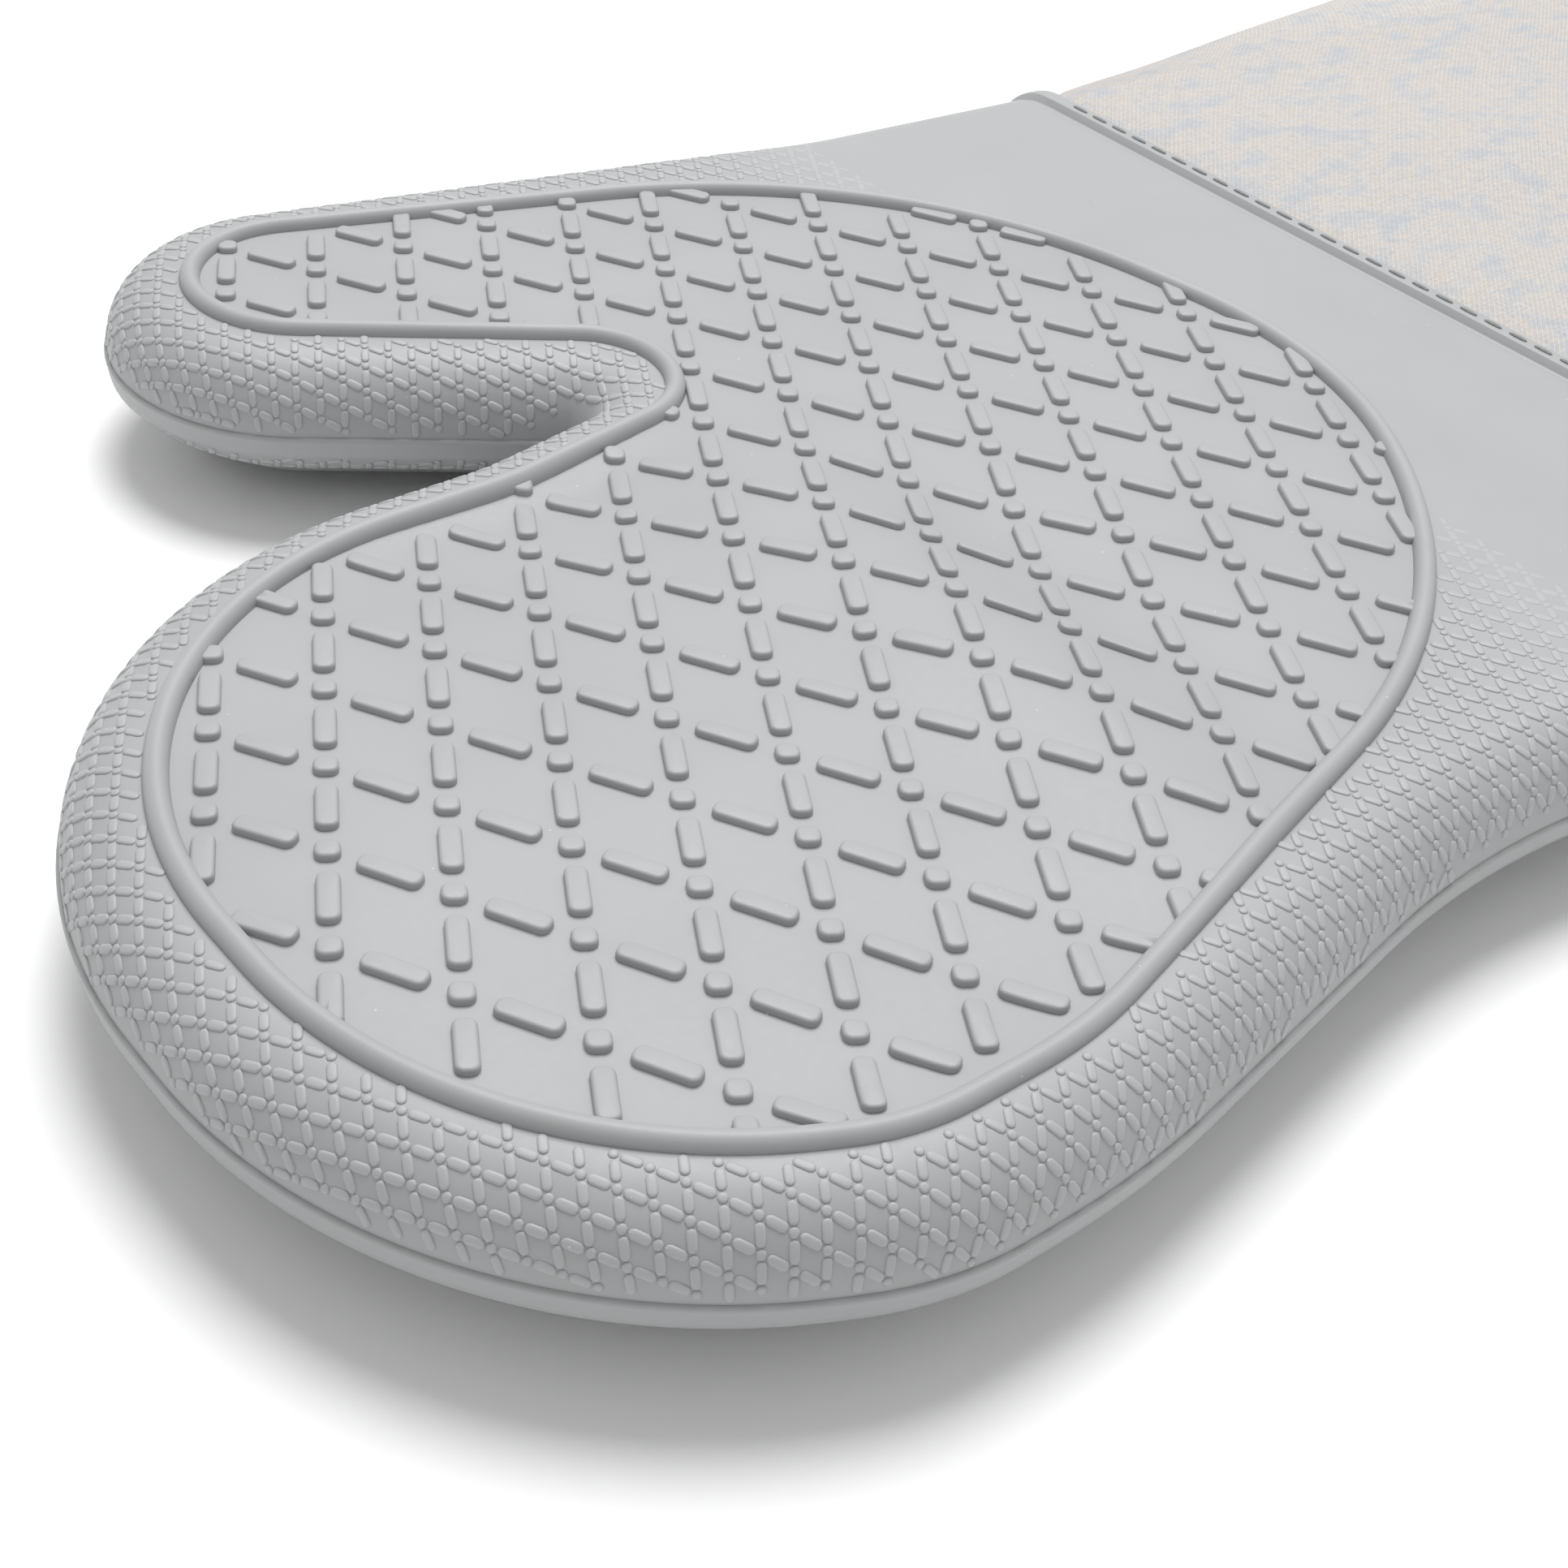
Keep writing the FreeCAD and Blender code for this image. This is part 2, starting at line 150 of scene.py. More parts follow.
class Outline:
    """Closed smooth line of straight parts and arcs, drawn clockwise. A corner is (x, y, radius)."""

    def __init__(self, corners):
        self.lines = []
        self.arcs = []
        self.order = []
        points = [np.array(corner[:2], float) for corner in corners]
        ends = []
        for index, point in enumerate(points):
            before = points[index - 1] - point
            after = points[(index + 1) % len(points)] - point
            before = before / np.linalg.norm(before)
            after = after / np.linalg.norm(after)
            half = math.acos(np.clip(np.dot(before, after), -1, 1)) / 2
            radius = corners[index][2]
            middle = before + after
            middle = middle / np.linalg.norm(middle)
            centre = point + middle * radius / math.sin(half)
            start = point + before * radius / math.tan(half)
            end = point + after * radius / math.tan(half)
            turn = 1 if before[0] * after[1] - before[1] * after[0] > 0 else -1
            first = math.atan2(start[1] - centre[1], start[0] - centre[0])
            sweep = math.pi - 2 * half
            ends.append((start, end, centre, radius, first, sweep, turn))
        for index, (start, end, centre, radius, first, sweep, turn) in enumerate(ends):
            self.order.append(("arc", len(self.arcs)))
            self.arcs.append((centre, radius, first, sweep, turn))
            next_start = ends[(index + 1) % len(ends)][0]
            length = np.linalg.norm(next_start - end)
            if length > 0.001:
                self.order.append(("line", len(self.lines)))
                self.lines.append((end, (next_start - end) / length, length))

    def depth(self, points):
        """How far inside the line each point is (less than 0 outside) and the way inwards there."""
        best = np.full(len(points), -1e6)
        inward = np.zeros((len(points), 2))
        for start, along, length in self.lines:
            right = np.array([along[1], -along[0]])
            travel = (points - start) @ along
            signed = (points - start) @ right
            closer = (travel > -0.01) & (travel < length + 0.01) & (abs(signed) < abs(best))
            best[closer] = signed[closer]
            inward[closer] = right
        for centre, radius, first, sweep, turn in self.arcs:
            away = points - centre
            distance = np.maximum(np.linalg.norm(away, axis=1), 1e-6)
            signed = turn * (radius - distance)
            passed = (turn * (first - np.arctan2(away[:, 1], away[:, 0]))) % (2 * math.pi)
            passed = np.where(passed > 2 * math.pi - 0.001, 0, passed)
            closer = (passed < sweep + 0.001) & (abs(signed) < abs(best))
            best[closer] = signed[closer]
            inward[closer] = -turn * (away / distance[:, None])[closer]
        return best, inward

    def walk(self, step):
        """Points along the line, the way inwards and the radius of the curve at each."""
        rows = []
        for kind, index in self.order:
            if kind == "line":
                start, along, length = self.lines[index]
                count = max(1, math.ceil(length / step))
                for share in np.arange(count) / count:
                    point = start + along * length * share
                    rows.append((*point, along[1], -along[0], 1000.0))
            else:
                centre, radius, first, sweep, turn = self.arcs[index]
                count = max(16, math.ceil(sweep * radius / step))
                for share in np.arange(count) / count:
                    angle = first - turn * sweep * share
                    ray = np.array([math.cos(angle), math.sin(angle)])
                    rows.append((*(centre + ray * radius), *(-turn * ray), radius))
        return np.array(rows)


def thumb_corners(radius, outer_angle):
    """Corners of a round thumb tip, and a point on its inner and on its outer side line."""
    inner_point = THUMB_CENTRE + unit(THUMB_INNER_ANGLE + 90) * radius
    outer_point = THUMB_CENTRE + unit(outer_angle - 90) * radius
    tip_angle = (THUMB_INNER_ANGLE + outer_angle) / 2
    tip_point = THUMB_CENTRE + unit(tip_angle) * radius
    inner = meet(inner_point, THUMB_INNER_ANGLE, tip_point, tip_angle + 90)
    outer = meet(outer_point, outer_angle, tip_point, tip_angle + 90)
    return [(*inner, radius), (*outer, radius)], inner_point, outer_point


def lobe_corners(inset):
    """Corners of the finger lobe's rounded end, set in from the glove's edge by inset."""
    left = LOBE_LEFT_X + inset
    right = LOBE_RIGHT_X - inset
    tip = GLOVE_LENGTH - inset
    shoulder = np.array([LOBE_LEFT_X, GLOVE_LENGTH - LOBE_SHOULDER_DROP])
    shoulder = shoulder + unit(LOBE_SHOULDER_ANGLE - 90) * inset
    low = meet(shoulder, LOBE_SHOULDER_ANGLE, np.array([left, 0]), 90)
    high = meet(shoulder, LOBE_SHOULDER_ANGLE, np.array([0, tip]), 0)
    side, top_left, top_right = [radius - inset for radius in LOBE_RADII]
    bend_y, bend_radius = LOBE_BEND
    return [
        (*low, side), (*high, top_left), (right, tip, top_right),
        (right, bend_y, bend_radius + inset)]


def glove_outline():
    tips, inner_point, outer_point = thumb_corners(THUMB_RADIUS, THUMB_OUTER_ANGLE)
    crotch = meet(inner_point, THUMB_INNER_ANGLE, np.array([0, CROTCH_Y]), 0)
    root = meet(outer_point, THUMB_OUTER_ANGLE, np.array([0, THUMB_ROOT_Y]), 0)
    half = WRIST_WIDTH / 2
    return Outline([
        *lobe_corners(0), (*crotch, CROTCH_RADIUS), *tips, (*root, THUMB_ROOT_RADIUS),
        (half, 0, THUMB_ROOT_RADIUS), (half, -40.0, 20.0), (-half, -40.0, 20.0),
        (-half, 0, 100.0), WAIST, (LOBE_LEFT_X, *LEFT_BEND),
    ])


def bead_outline():
    tips, inner_point, outer_point = thumb_corners(THUMB_RADIUS - BEAD_THUMB_INSET, BEAD_THUMB_ANGLE)
    crotch = meet(inner_point, THUMB_INNER_ANGLE, np.array([0, BEAD_CROTCH_Y]), 0)
    heel_y, heel_radius = BEAD_HEEL_RIGHT
    heel = meet(outer_point, BEAD_THUMB_ANGLE, np.array([0, heel_y]), 0)
    return Outline([
        *lobe_corners(BEAD_INSET), (*crotch, CROTCH_RADIUS + BEAD_INSET), *tips,
        (*heel, heel_radius), *BEAD_HEEL, (LOBE_LEFT_X + BEAD_INSET, *BEAD_LEFT_BEND),
    ])


GLOVE = glove_outline()
BEAD = bead_outline()


def lengths_along(points):
    """How far along its line each point is."""
    return np.concatenate([[0], np.cumsum(np.linalg.norm(np.diff(points, axis=0), axis=1))])


def spread(length_at, step_at):
    """Places along a line, spaced by the step wanted at each."""
    middle = (1 / step_at[1:] + 1 / step_at[:-1]) / 2
    count = np.concatenate([[0], np.cumsum(np.diff(length_at) * middle)])
    return np.interp(np.linspace(0, count[-1], math.ceil(count[-1]) + 1), count, length_at)


def along_line(rows, wanted, length_at):
    """Points and inward directions at the wanted places along a finely walked line."""
    points = np.stack([np.interp(wanted, length_at, rows[:, axis]) for axis in (0, 1)], axis=1)
    inward = np.stack([np.interp(wanted, length_at, rows[:, axis]) for axis in (2, 3)], axis=1)
    return points, inward / np.linalg.norm(inward, axis=1)[:, None]


# ------------------------------------------------------------------ the moulded surface

# Rows of points close together at the wrist, where the lip is
WRIST_ROWS = [0, 0.3, 0.75, 1.5, 2.3, 2.75, 3.1, 3.5, 4.1, 5.2, 7.0]
GRID_STEP = 2.5
EDGE_STEPS = 16

# Soft rises and hollows of the panel over the padding: height, middle (x, y), spread (x, y)
SWELLS = [
    (1.9, -29.0, 105.0, 24.0, 9.0),
    (-1.3, -14.0, 89.0, 20.0, 7.0),
    (-1.8, 26.0, 129.0, 12.0, 14.0),
    (-0.8, -69.0, 145.0, 12.0, 30.0),
    (0.6, -19.0, 177.0, 12.0, 8.0),
]


def swell(points, facing):
    """Height of the panel's soft rises and hollows."""
    total = np.zeros(len(points))
    scale = 1.0 if facing == FRONT else 0.0
    for height, x, y, spread_x, spread_y in SWELLS:
        reach_x = (points[:, 0] - x) / spread_x
        reach_y = (points[:, 1] - y) / spread_y
        total += scale * height * np.exp(-(reach_x ** 2 + reach_y ** 2) / 2)
    return total


def face_shape(facing):
    """Height of a face from the parting line, and the width and power of its rounded edge."""
    if facing == FRONT:
        return FRONT_HEIGHT, EDGE_WIDTH, EDGE_POWER
    return BACK_HEIGHT, BACK_EDGE_WIDTH, BACK_EDGE_POWER


def edge_rise(depth, facing):
    """Height above the parting line at a depth inside the outline, before any swell."""
    height, width, power = face_shape(facing)
    share = np.clip(1 - depth / width, 0, 1)
    return height * (1 - share ** power) ** (1 / power)


def edge_curve(facing, count):
    """Inset and rise of the rounded edge, from the parting line to EDGE_WIDTH inside it."""
    width, power = face_shape(facing)[1:]
    last = math.acos((1 - EDGE_WIDTH / width) ** (power / 2))
    inset = width * (1 - np.cos(np.linspace(0, last, count + 1)) ** (2 / power))
    inset[-1] = EDGE_WIDTH
    return inset, edge_rise(inset, facing)


def surface(points, facing, wrapped=False):
    """Points on a face of the glove and the outward directions there.

    A wrapped point keeps its distance from the flat panel along the rounded edge."""
    points = points.copy()
    depth, inward = GLOVE.depth(points)
    height, width, power = face_shape(facing)
    if wrapped:
        inset, rise = edge_curve(facing, 300)
        piece = np.hypot(np.diff(inset), np.diff(rise))
        from_panel = np.concatenate([[0], np.cumsum(piece[::-1])])
        target = np.interp(EDGE_WIDTH - depth, from_panel, inset[::-1])
        target = np.where(depth < EDGE_WIDTH, target, depth)
        points += inward * (target - depth)[:, None]
        depth = target
    share = np.clip(1 - depth / width, 0, 1)
    rise = edge_rise(depth, facing)
    level = PARTING_Z + facing * (rise + swell(points, facing) * ease(depth, 7, 15))
    outwards = share ** (power - 1) / width
    upwards = (rise / height) ** (power - 1) / height
    size = np.hypot(outwards, upwards)
    normal = np.empty((len(points), 3))
    normal[:, :2] = -inward * (outwards / size)[:, None]
    normal[:, 2] = facing * upwards / size
    return np.column_stack([points, level]), normal


class Mesh:
    """Points with four-sided and three-sided faces."""

    def __init__(self, points, quads, tris):
        self.points = np.asarray(points, float)
        self.quads = np.asarray(quads, int).reshape(-1, 4)
        self.tris = np.asarray(tris, int).reshape(-1, 3)

    def normals(self, points=None):
        """Outward direction at each point."""
        points = self.points if points is None else points
        total = np.zeros((len(points), 3))
        corners = [self.tris, self.quads[:, [0, 1, 2]], self.quads[:, [0, 2, 3]]]
        for face in corners:
            a, b, c = points[face[:, 0]], points[face[:, 1]], points[face[:, 2]]
            cross = np.cross(b - a, c - a)
            for corner in range(3):
                np.add.at(total, face[:, corner], cross)
        return total / np.maximum(np.linalg.norm(total, axis=1), 1e-9)[:, None]

    def middles(self):
        """Middle of each face, four-sided ones first."""
        return np.concatenate([
            self.points[self.quads].mean(axis=1), self.points[self.tris].mean(axis=1)])

    def boundary(self, quads, tris):
        """Edges that only one of these faces uses, in the face's own direction."""
        edges = np.concatenate(
            [quads[:, [side, (side + 1) % 4]] for side in range(4)]
            + [tris[:, [side, (side + 1) % 3]] for side in range(3)])
        key = np.sort(edges, axis=1)
        key = key[:, 0] * len(self.points) + key[:, 1]
        _, index, count = np.unique(key, return_index=True, return_counts=True)
        return edges[index[count == 1]]


def wrist_line():
    """The glove's outline from the left of the wrist, round the fingers and thumb, to its right."""
    rows = GLOVE.walk(0.1)
    above = rows[:, 1] >= 0
    start = np.flatnonzero(above & ~np.roll(above, 1))[0]
    rows = np.roll(rows, -start, axis=0)
    rows = rows[rows[:, 1] >= 0]
    rows[0, 1] = 0
    rows[-1, 1] = 0
    length_at = lengths_along(rows[:, :2])
    step_at = np.clip(0.12 * rows[:, 4], 0.4, 2.2)
    end = WRIST_ROWS[-1]
    inner = (length_at >= end) & (length_at <= length_at[-1] - end)
    wanted = spread(length_at[inner], step_at[inner])
    wanted[0] = end
    wanted[-1] = length_at[-1] - end
    ends = np.array(WRIST_ROWS[:-1])
    wanted = np.concatenate([ends, wanted, length_at[-1] - ends[::-1]])
    points, inward = along_line(rows, wanted, length_at)
    level = ease(np.minimum(wanted, length_at[-1] - wanted), 0, 15)[:, None]
    across = np.column_stack([-np.sign(points[:, 0]), np.zeros(len(points))])
    inward = inward * level + across * (1 - level)
    return points, inward / np.linalg.norm(inward, axis=1)[:, None]


def glove_surface():
    """Both faces of the glove as one surface, open at the wrist."""
    rim, inward = wrist_line()
    count = len(rim)
    ring = rim + inward * EDGE_WIDTH
    rows_y = WRIST_ROWS[1:] + list(np.arange(WRIST_ROWS[-1] + GRID_STEP, GLOVE_LENGTH, GRID_STEP))
    columns_x = np.arange(-90.0, 110.0, GRID_STEP)
    grid = np.array([(x, y) for y in rows_y for x in columns_x])
    depth = GLOVE.depth(grid)[0]
    inside = grid[depth > EDGE_WIDTH + 1.3]
    base_x = columns_x[(columns_x > ring[0, 0] + 1.3) & (columns_x < ring[-1, 0] - 1.3)]
    base = np.column_stack([base_x, np.zeros(len(base_x))])
    flat = np.concatenate([ring, base[::-1], inside])
    fence = count + len(base)
    edges = [(index, (index + 1) % fence) for index in range(fence)]
    found = geometry.delaunay_2d_cdt([Vector(point) for point in flat], edges, [], 1, 1e-5)
    source = [origin[0] for origin in found[3]]
    triangles = np.array([[source[corner] for corner in face] for face in found[2]])
    a, b, c = flat[triangles[:, 0]], flat[triangles[:, 1]], flat[triangles[:, 2]]
    turned = (b - a)[:, 0] * (c - a)[:, 1] - (b - a)[:, 1] * (c - a)[:, 0] < 0
    triangles[turned] = triangles[turned][:, ::-1]

    points = [np.column_stack([rim, np.full(count, PARTING_Z)])]
    quads = []
    tris = []
    total = count
    for facing in (FRONT, BACK):
        insets, rises = edge_curve(facing, EDGE_STEPS)
        below = np.arange(count)
        for inset, rise in zip(insets[1:], rises[1:]):
            level = np.full(count, PARTING_Z + facing * rise)
            points.append(np.column_stack([rim + inward * inset, level]))
            here = total + np.arange(count)
            quad = np.column_stack([below[:-1], below[1:], here[1:], here[:-1]])
            quads.append(quad[:, ::-1] if facing == FRONT else quad)
            below = here
            total += count
        inner = flat[count:]
        inner_depth = GLOVE.depth(inner)[0]
        level = PARTING_Z + facing * edge_rise(inner_depth, facing)
        lift = facing * swell(inner, facing) * ease(inner_depth, 7, 15)
        points.append(np.column_stack([inner, level + lift]))
        numbers = np.concatenate([below, total + np.arange(len(inner))])
        total += len(inner)
        face = numbers[triangles]
        tris.append(face if facing == FRONT else face[:, ::-1])
    mesh = Mesh(np.concatenate(points), np.concatenate(quads), np.concatenate(tris))
    return mesh, rim, inward


SHELL, RIM, RIM_INWARD = glove_surface()


# ------------------------------------------------------------------ bodies

FINGER_BLEND = 15.0
THUMB_BLEND = 12.0
BORDER_MARGIN = 1.5


def joint_place(name):
    """A joint's point and axis in the local millimetre system."""
    joint = JOINTS[name]
    point = np.array(joint["pos_m"], float) / MM - TO_FRAME
    return point, np.array(joint["axis"], float)


FINGER_HINGE, _ = joint_place("fingers_bend")
THUMB_HINGE, THUMB_AXIS = joint_place("thumb_bend")
THUMB_ALONG = np.array([-THUMB_AXIS[1], THUMB_AXIS[0], 0.0])
CROTCH_DIVIDER = np.array([37.87, 105.6])
DIVIDER_ANGLE = 78.36


def regions(points):
    """Body that each point belongs to: 0 palm, 1 fingers, 2 thumb."""
    along = (points[:, :2] - THUMB_HINGE[:2]) @ THUMB_ALONG[:2]
    divider = CROTCH_DIVIDER[0] + (points[:, 1] - CROTCH_DIVIDER[1]) / math.tan(math.radians(DIVIDER_ANGLE))
    right = points[:, 0] > divider
    fingers = ~right & (points[:, 1] > FINGER_HINGE[1] - FINGER_BLEND - BORDER_MARGIN)
    thumb = right & (along > -THUMB_BLEND - BORDER_MARGIN)
    return np.where(thumb, 2, np.where(fingers, 1, 0))


BODY_NAMES = ["palm", "fingers", "thumb"]


def attach(piece, body):
    """Parents a piece of the glove or cuff to its body's empty; a piece of the fingers, the thumb or the
    cuff's bend only has its place baked into its points.
    """
    if body == "fingers":
        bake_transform(piece)
    elif body == "thumb":
        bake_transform(piece)
    elif body == "cuff_bend":
        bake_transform(piece)
    else:
        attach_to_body(piece, body)


def add_piece(name, mesh, material, body, loop_normals=None, uv=None):
    """Makes the object, smooth shaded, gives it its material, and hands it to attach for its body."""
    data = bpy.data.meshes.new(name)
    place = (mesh.points + TO_FRAME) * MM
    data.from_pydata(place.tolist(), [], mesh.quads.tolist() + mesh.tris.tolist())
    data.polygons.foreach_set("use_smooth", np.ones(len(data.polygons), bool))
    if uv is not None:
        corners = np.concatenate([mesh.quads.ravel(), mesh.tris.ravel()])
        layer = data.uv_layers.new(name="cloth")
        layer.data.foreach_set("uv", (uv[corners] * MM).astype(np.float32).ravel())
    if loop_normals is not None:
        data.normals_split_custom_set(loop_normals.tolist())
    data.materials.append(material)
    piece = bpy.data.objects.new(name, data)
    bpy.context.scene.collection.objects.link(piece)
    attach(piece, body)
    return piece


def part_of(mesh, quad_mask, tri_mask):
    """Some faces of a mesh as a mesh of their own, and the points that they keep."""
    quads = mesh.quads[quad_mask]
    tris = mesh.tris[tri_mask]
    used = np.unique(np.concatenate([quads.ravel(), tris.ravel()]))
    number = np.zeros(len(mesh.points), int)
    number[used] = np.arange(len(used))
    return Mesh(mesh.points[used], number[quads], number[tris]), used


def thick_piece(name, mesh, outer, inner, masks, material, slot, body, uv=None):
    """Closed solid between an outer and an inner surface that share their faces."""
    quads = mesh.quads[masks[0]]
    tris = mesh.tris[masks[1]]
    outer_normal = mesh.normals(outer)
    inner_normal = -mesh.normals(inner)
    count = len(mesh.points)
    edge = mesh.boundary(quads, tris)
    rim = np.column_stack([edge[:, 1], edge[:, 0], edge[:, 0] + count, edge[:, 1] + count])
    all_points = np.concatenate([outer, inner])
    all_quads = np.concatenate([quads, quads[:, ::-1] + count, rim])
    all_tris = np.concatenate([tris, tris[:, ::-1] + count])
    normals = np.concatenate([outer_normal, inner_normal])
    across = np.cross(
        all_points[rim[:, 1]] - all_points[rim[:, 0]], all_points[rim[:, 3]] - all_points[rim[:, 0]])
    across = across / np.maximum(np.linalg.norm(across, axis=1), 1e-9)[:, None]
    body_loops = normals[all_quads[:-len(rim)]].reshape(-1, 3)
    loop_normals = np.concatenate([
        body_loops, np.repeat(across, 4, axis=0), normals[all_tris].reshape(-1, 3)])
    whole = Mesh(all_points, all_quads, all_tris)
    everything = np.ones(len(all_quads), bool), np.ones(len(all_tris), bool)
    part, used = part_of(whole, *everything)
    part_uv = None if uv is None else np.concatenate([uv, uv])[used]
    return add_piece(name, part, material, body, loop_normals, part_uv)


def region_masks(mesh):
    """For each body, which of the mesh's faces it has."""
    region = regions(mesh.middles())
    split = len(mesh.quads)
    return [(region[:split] == index, region[split:] == index) for index in range(3)]


# ------------------------------------------------------------------ materials

def new_material(name):
    material = bpy.data.materials.new(name)
    material.use_nodes = True
    tree = material.node_tree
    tree.nodes.clear()
    output = tree.nodes.new("ShaderNodeOutputMaterial")
    shader = tree.nodes.new("ShaderNodeBsdfPrincipled")
    tree.links.new(shader.outputs["BSDF"], output.inputs["Surface"])
    return material, tree, shader


def add_node(tree, kind, inputs=None, **settings):
    """A node with its settings. An input is named or numbered, and takes a socket or a value."""
    node = tree.nodes.new(kind)
    for key, value in settings.items():
        setattr(node, key, value)
    for key, value in (inputs or {}).items():
        if isinstance(value, bpy.types.NodeSocket):
            tree.links.new(value, node.inputs[key])
        else:
            node.inputs[key].default_value = value
    return node


def grey(value, tint=(1.0, 1.0, 1.0)):
    """Linear colour of an sRGB grey from 0 to 255, with a tint."""
    share = value / 255
    linear = ((share + 0.055) / 1.055) ** 2.4
    return tuple(linear * part for part in tint) + (1.0,)


def colour_ramp(tree, factor, stops):
    """Colours at places from 0 to 1 along a factor."""
    node = add_node(tree, "ShaderNodeValToRGB", {"Fac": factor})
    elements = node.color_ramp.elements
    while len(elements) > len(stops):
        elements.remove(elements[-1])
    for index, (place, colour) in enumerate(stops):
        element = elements[index] if index < len(elements) else elements.new(place)
        element.position = place
        element.color = colour
    return node.outputs["Color"]


def map_range(tree, value, low, high):
    node = add_node(tree, "ShaderNodeMapRange", {"Value": value, "To Min": low, "To Max": high})
    return node.outputs["Result"]


def stretched(tree, vector, scale, turn=0.0):
    node = add_node(tree, "ShaderNodeMapping", {"Vector": vector})
    node.inputs["Scale"].default_value = scale
    node.inputs["Rotation"].default_value = (0, 0, turn)
    return node.outputs["Vector"]


def noise(tree, vector, scale, detail=3.0, roughness=0.5):
    node = add_node(tree, "ShaderNodeTexNoise", {
        "Vector": vector, "Scale": scale, "Detail": detail, "Roughness": roughness})
    return node.outputs["Fac"]


def mix_colour(tree, factor, first, second):
    inputs = {0: factor, 6: first, 7: second}
    return add_node(tree, "ShaderNodeMix", inputs, data_type="RGBA").outputs[2]


def math_node(tree, operation, first, second=0.0):
    return add_node(tree, "ShaderNodeMath", {0: first, 1: second}, operation=operation).outputs[0]


def bump(tree, height, strength, distance):
    inputs = {"Height": height, "Strength": strength, "Distance": distance}
    return add_node(tree, "ShaderNodeBump", inputs).outputs["Normal"]


# The finely patterned edge is the same silicone as the rest. Its grey, the second here, is 7 levels lighter:
# painted light for how that textured surface looks lit.
SILICONE_GREY = 164
PATTERN_PAINTED_LIGHT_GREY = 171
COOL = (0.985, 1.0, 1.012)


def silicone_material(name, tone):
    """Satin moulded silicone, with a little dust on it."""
    material, tree, shader = new_material(name)
    place = add_node(tree, "ShaderNodeTexCoord").outputs["Object"]
    cloud = noise(tree, place, 45.0)
    base = colour_ramp(tree, cloud, [
        (0.3, grey(tone - 2, COOL)), (0.7, grey(tone + 2, COOL))])
    cells = add_node(tree, "ShaderNodeTexVoronoi", {"Vector": place, "Scale": 330.0})
    near = math_node(tree, "LESS_THAN", cells.outputs["Distance"], 0.035)
    pick = add_node(tree, "ShaderNodeSeparateColor", {"Color": cells.outputs["Color"]})
    chosen = math_node(tree, "GREATER_THAN", pick.outputs[0], 0.55)
    speck = math_node(tree, "MULTIPLY", near, chosen)
    speck = math_node(tree, "MULTIPLY", speck, 0.55)
    tree.links.new(mix_colour(tree, speck, base, grey(215)), shader.inputs["Base Color"])
    fine = noise(tree, place, 900.0)
    tree.links.new(map_range(tree, fine, 0.42, 0.56), shader.inputs["Roughness"])
    shader.inputs["Specular IOR Level"].default_value = 0.4
    grain = noise(tree, place, 5200.0, 2.0)
    tree.links.new(bump(tree, grain, 0.06, 0.0002), shader.inputs["Normal"])
    return material


def cloth_coordinates(tree):
    return add_node(tree, "ShaderNodeUVMap", uv_map="cloth").outputs["UV"]


def twill_bump(tree, place, pitch, strength):
    """Fine diagonal ribs of a twill weave, and the height that draws them."""
    wave = add_node(tree, "ShaderNodeTexWave", {
        "Vector": stretched(tree, place, (1, 1, 1), math.radians(42)),
        "Scale": 0.314 / pitch, "Distortion": 0.6, "Detail": 2.0, "Detail Scale": 3.0})
    threads = noise(tree, stretched(tree, place, (2600, 700, 1)), 1.0, 2.0)
    height = math_node(tree, "ADD", wave.outputs["Fac"], math_node(tree, "MULTIPLY", threads, 1.2))
    return bump(tree, height, strength, 0.0003), height


def melange_material():
    """Light melange cotton: cream and blue-grey yarns in soft mottled patches, with painted shade darkening
    the low places between the twill's ribs.
    """
    material, tree, shader = new_material("cuff_melange")
    place = cloth_coordinates(tree)
    patches = noise(tree, stretched(tree, place, (230, 130, 1), 0.5), 1.0, 4.0, 0.6)
    warm = (0.60, 0.545, 0.495, 1.0)
    pale = (0.57, 0.55, 0.53, 1.0)
    cool = (0.485, 0.50, 0.525, 1.0)
    base = colour_ramp(tree, patches, [(0.36, cool), (0.48, pale), (0.56, warm), (0.66, pale)])
    weft = noise(tree, stretched(tree, place, (420, 2600, 1)), 1.0, 3.0, 0.6)
    warp = noise(tree, stretched(tree, place, (2600, 420, 1)), 1.0, 3.0, 0.6)
    yarn = math_node(tree, "ADD", weft, warp)
    streak = add_node(tree, "ShaderNodeMapRange", {
        "Value": yarn, "From Min": 0.86, "From Max": 1.24, "To Min": 0.0, "To Max": 0.55})
    base = mix_colour(tree, streak.outputs["Result"], base, (0.40, 0.41, 0.43, 1.0))
    normal, height = twill_bump(tree, place, 0.00062, 0.55)
    # Painted shade: the low places between the twill's ribs are darkened towards dark grey, by up to 18 per
    # cent.
    shade = add_node(tree, "ShaderNodeMapRange", {
        "Value": height, "From Min": 0.3, "From Max": 1.6, "To Min": 0.18, "To Max": 0.0})
    base = mix_colour(tree, shade.outputs["Result"], base, (0.16, 0.165, 0.18, 1.0))
    tree.links.new(base, shader.inputs["Base Color"])
    tree.links.new(normal, shader.inputs["Normal"])
    shader.inputs["Roughness"].default_value = 0.92
    shader.inputs["Specular IOR Level"].default_value = 0.15
    shader.inputs["Sheen Weight"].default_value = 0.25
    shader.inputs["Sheen Roughness"].default_value = 0.5
    return material


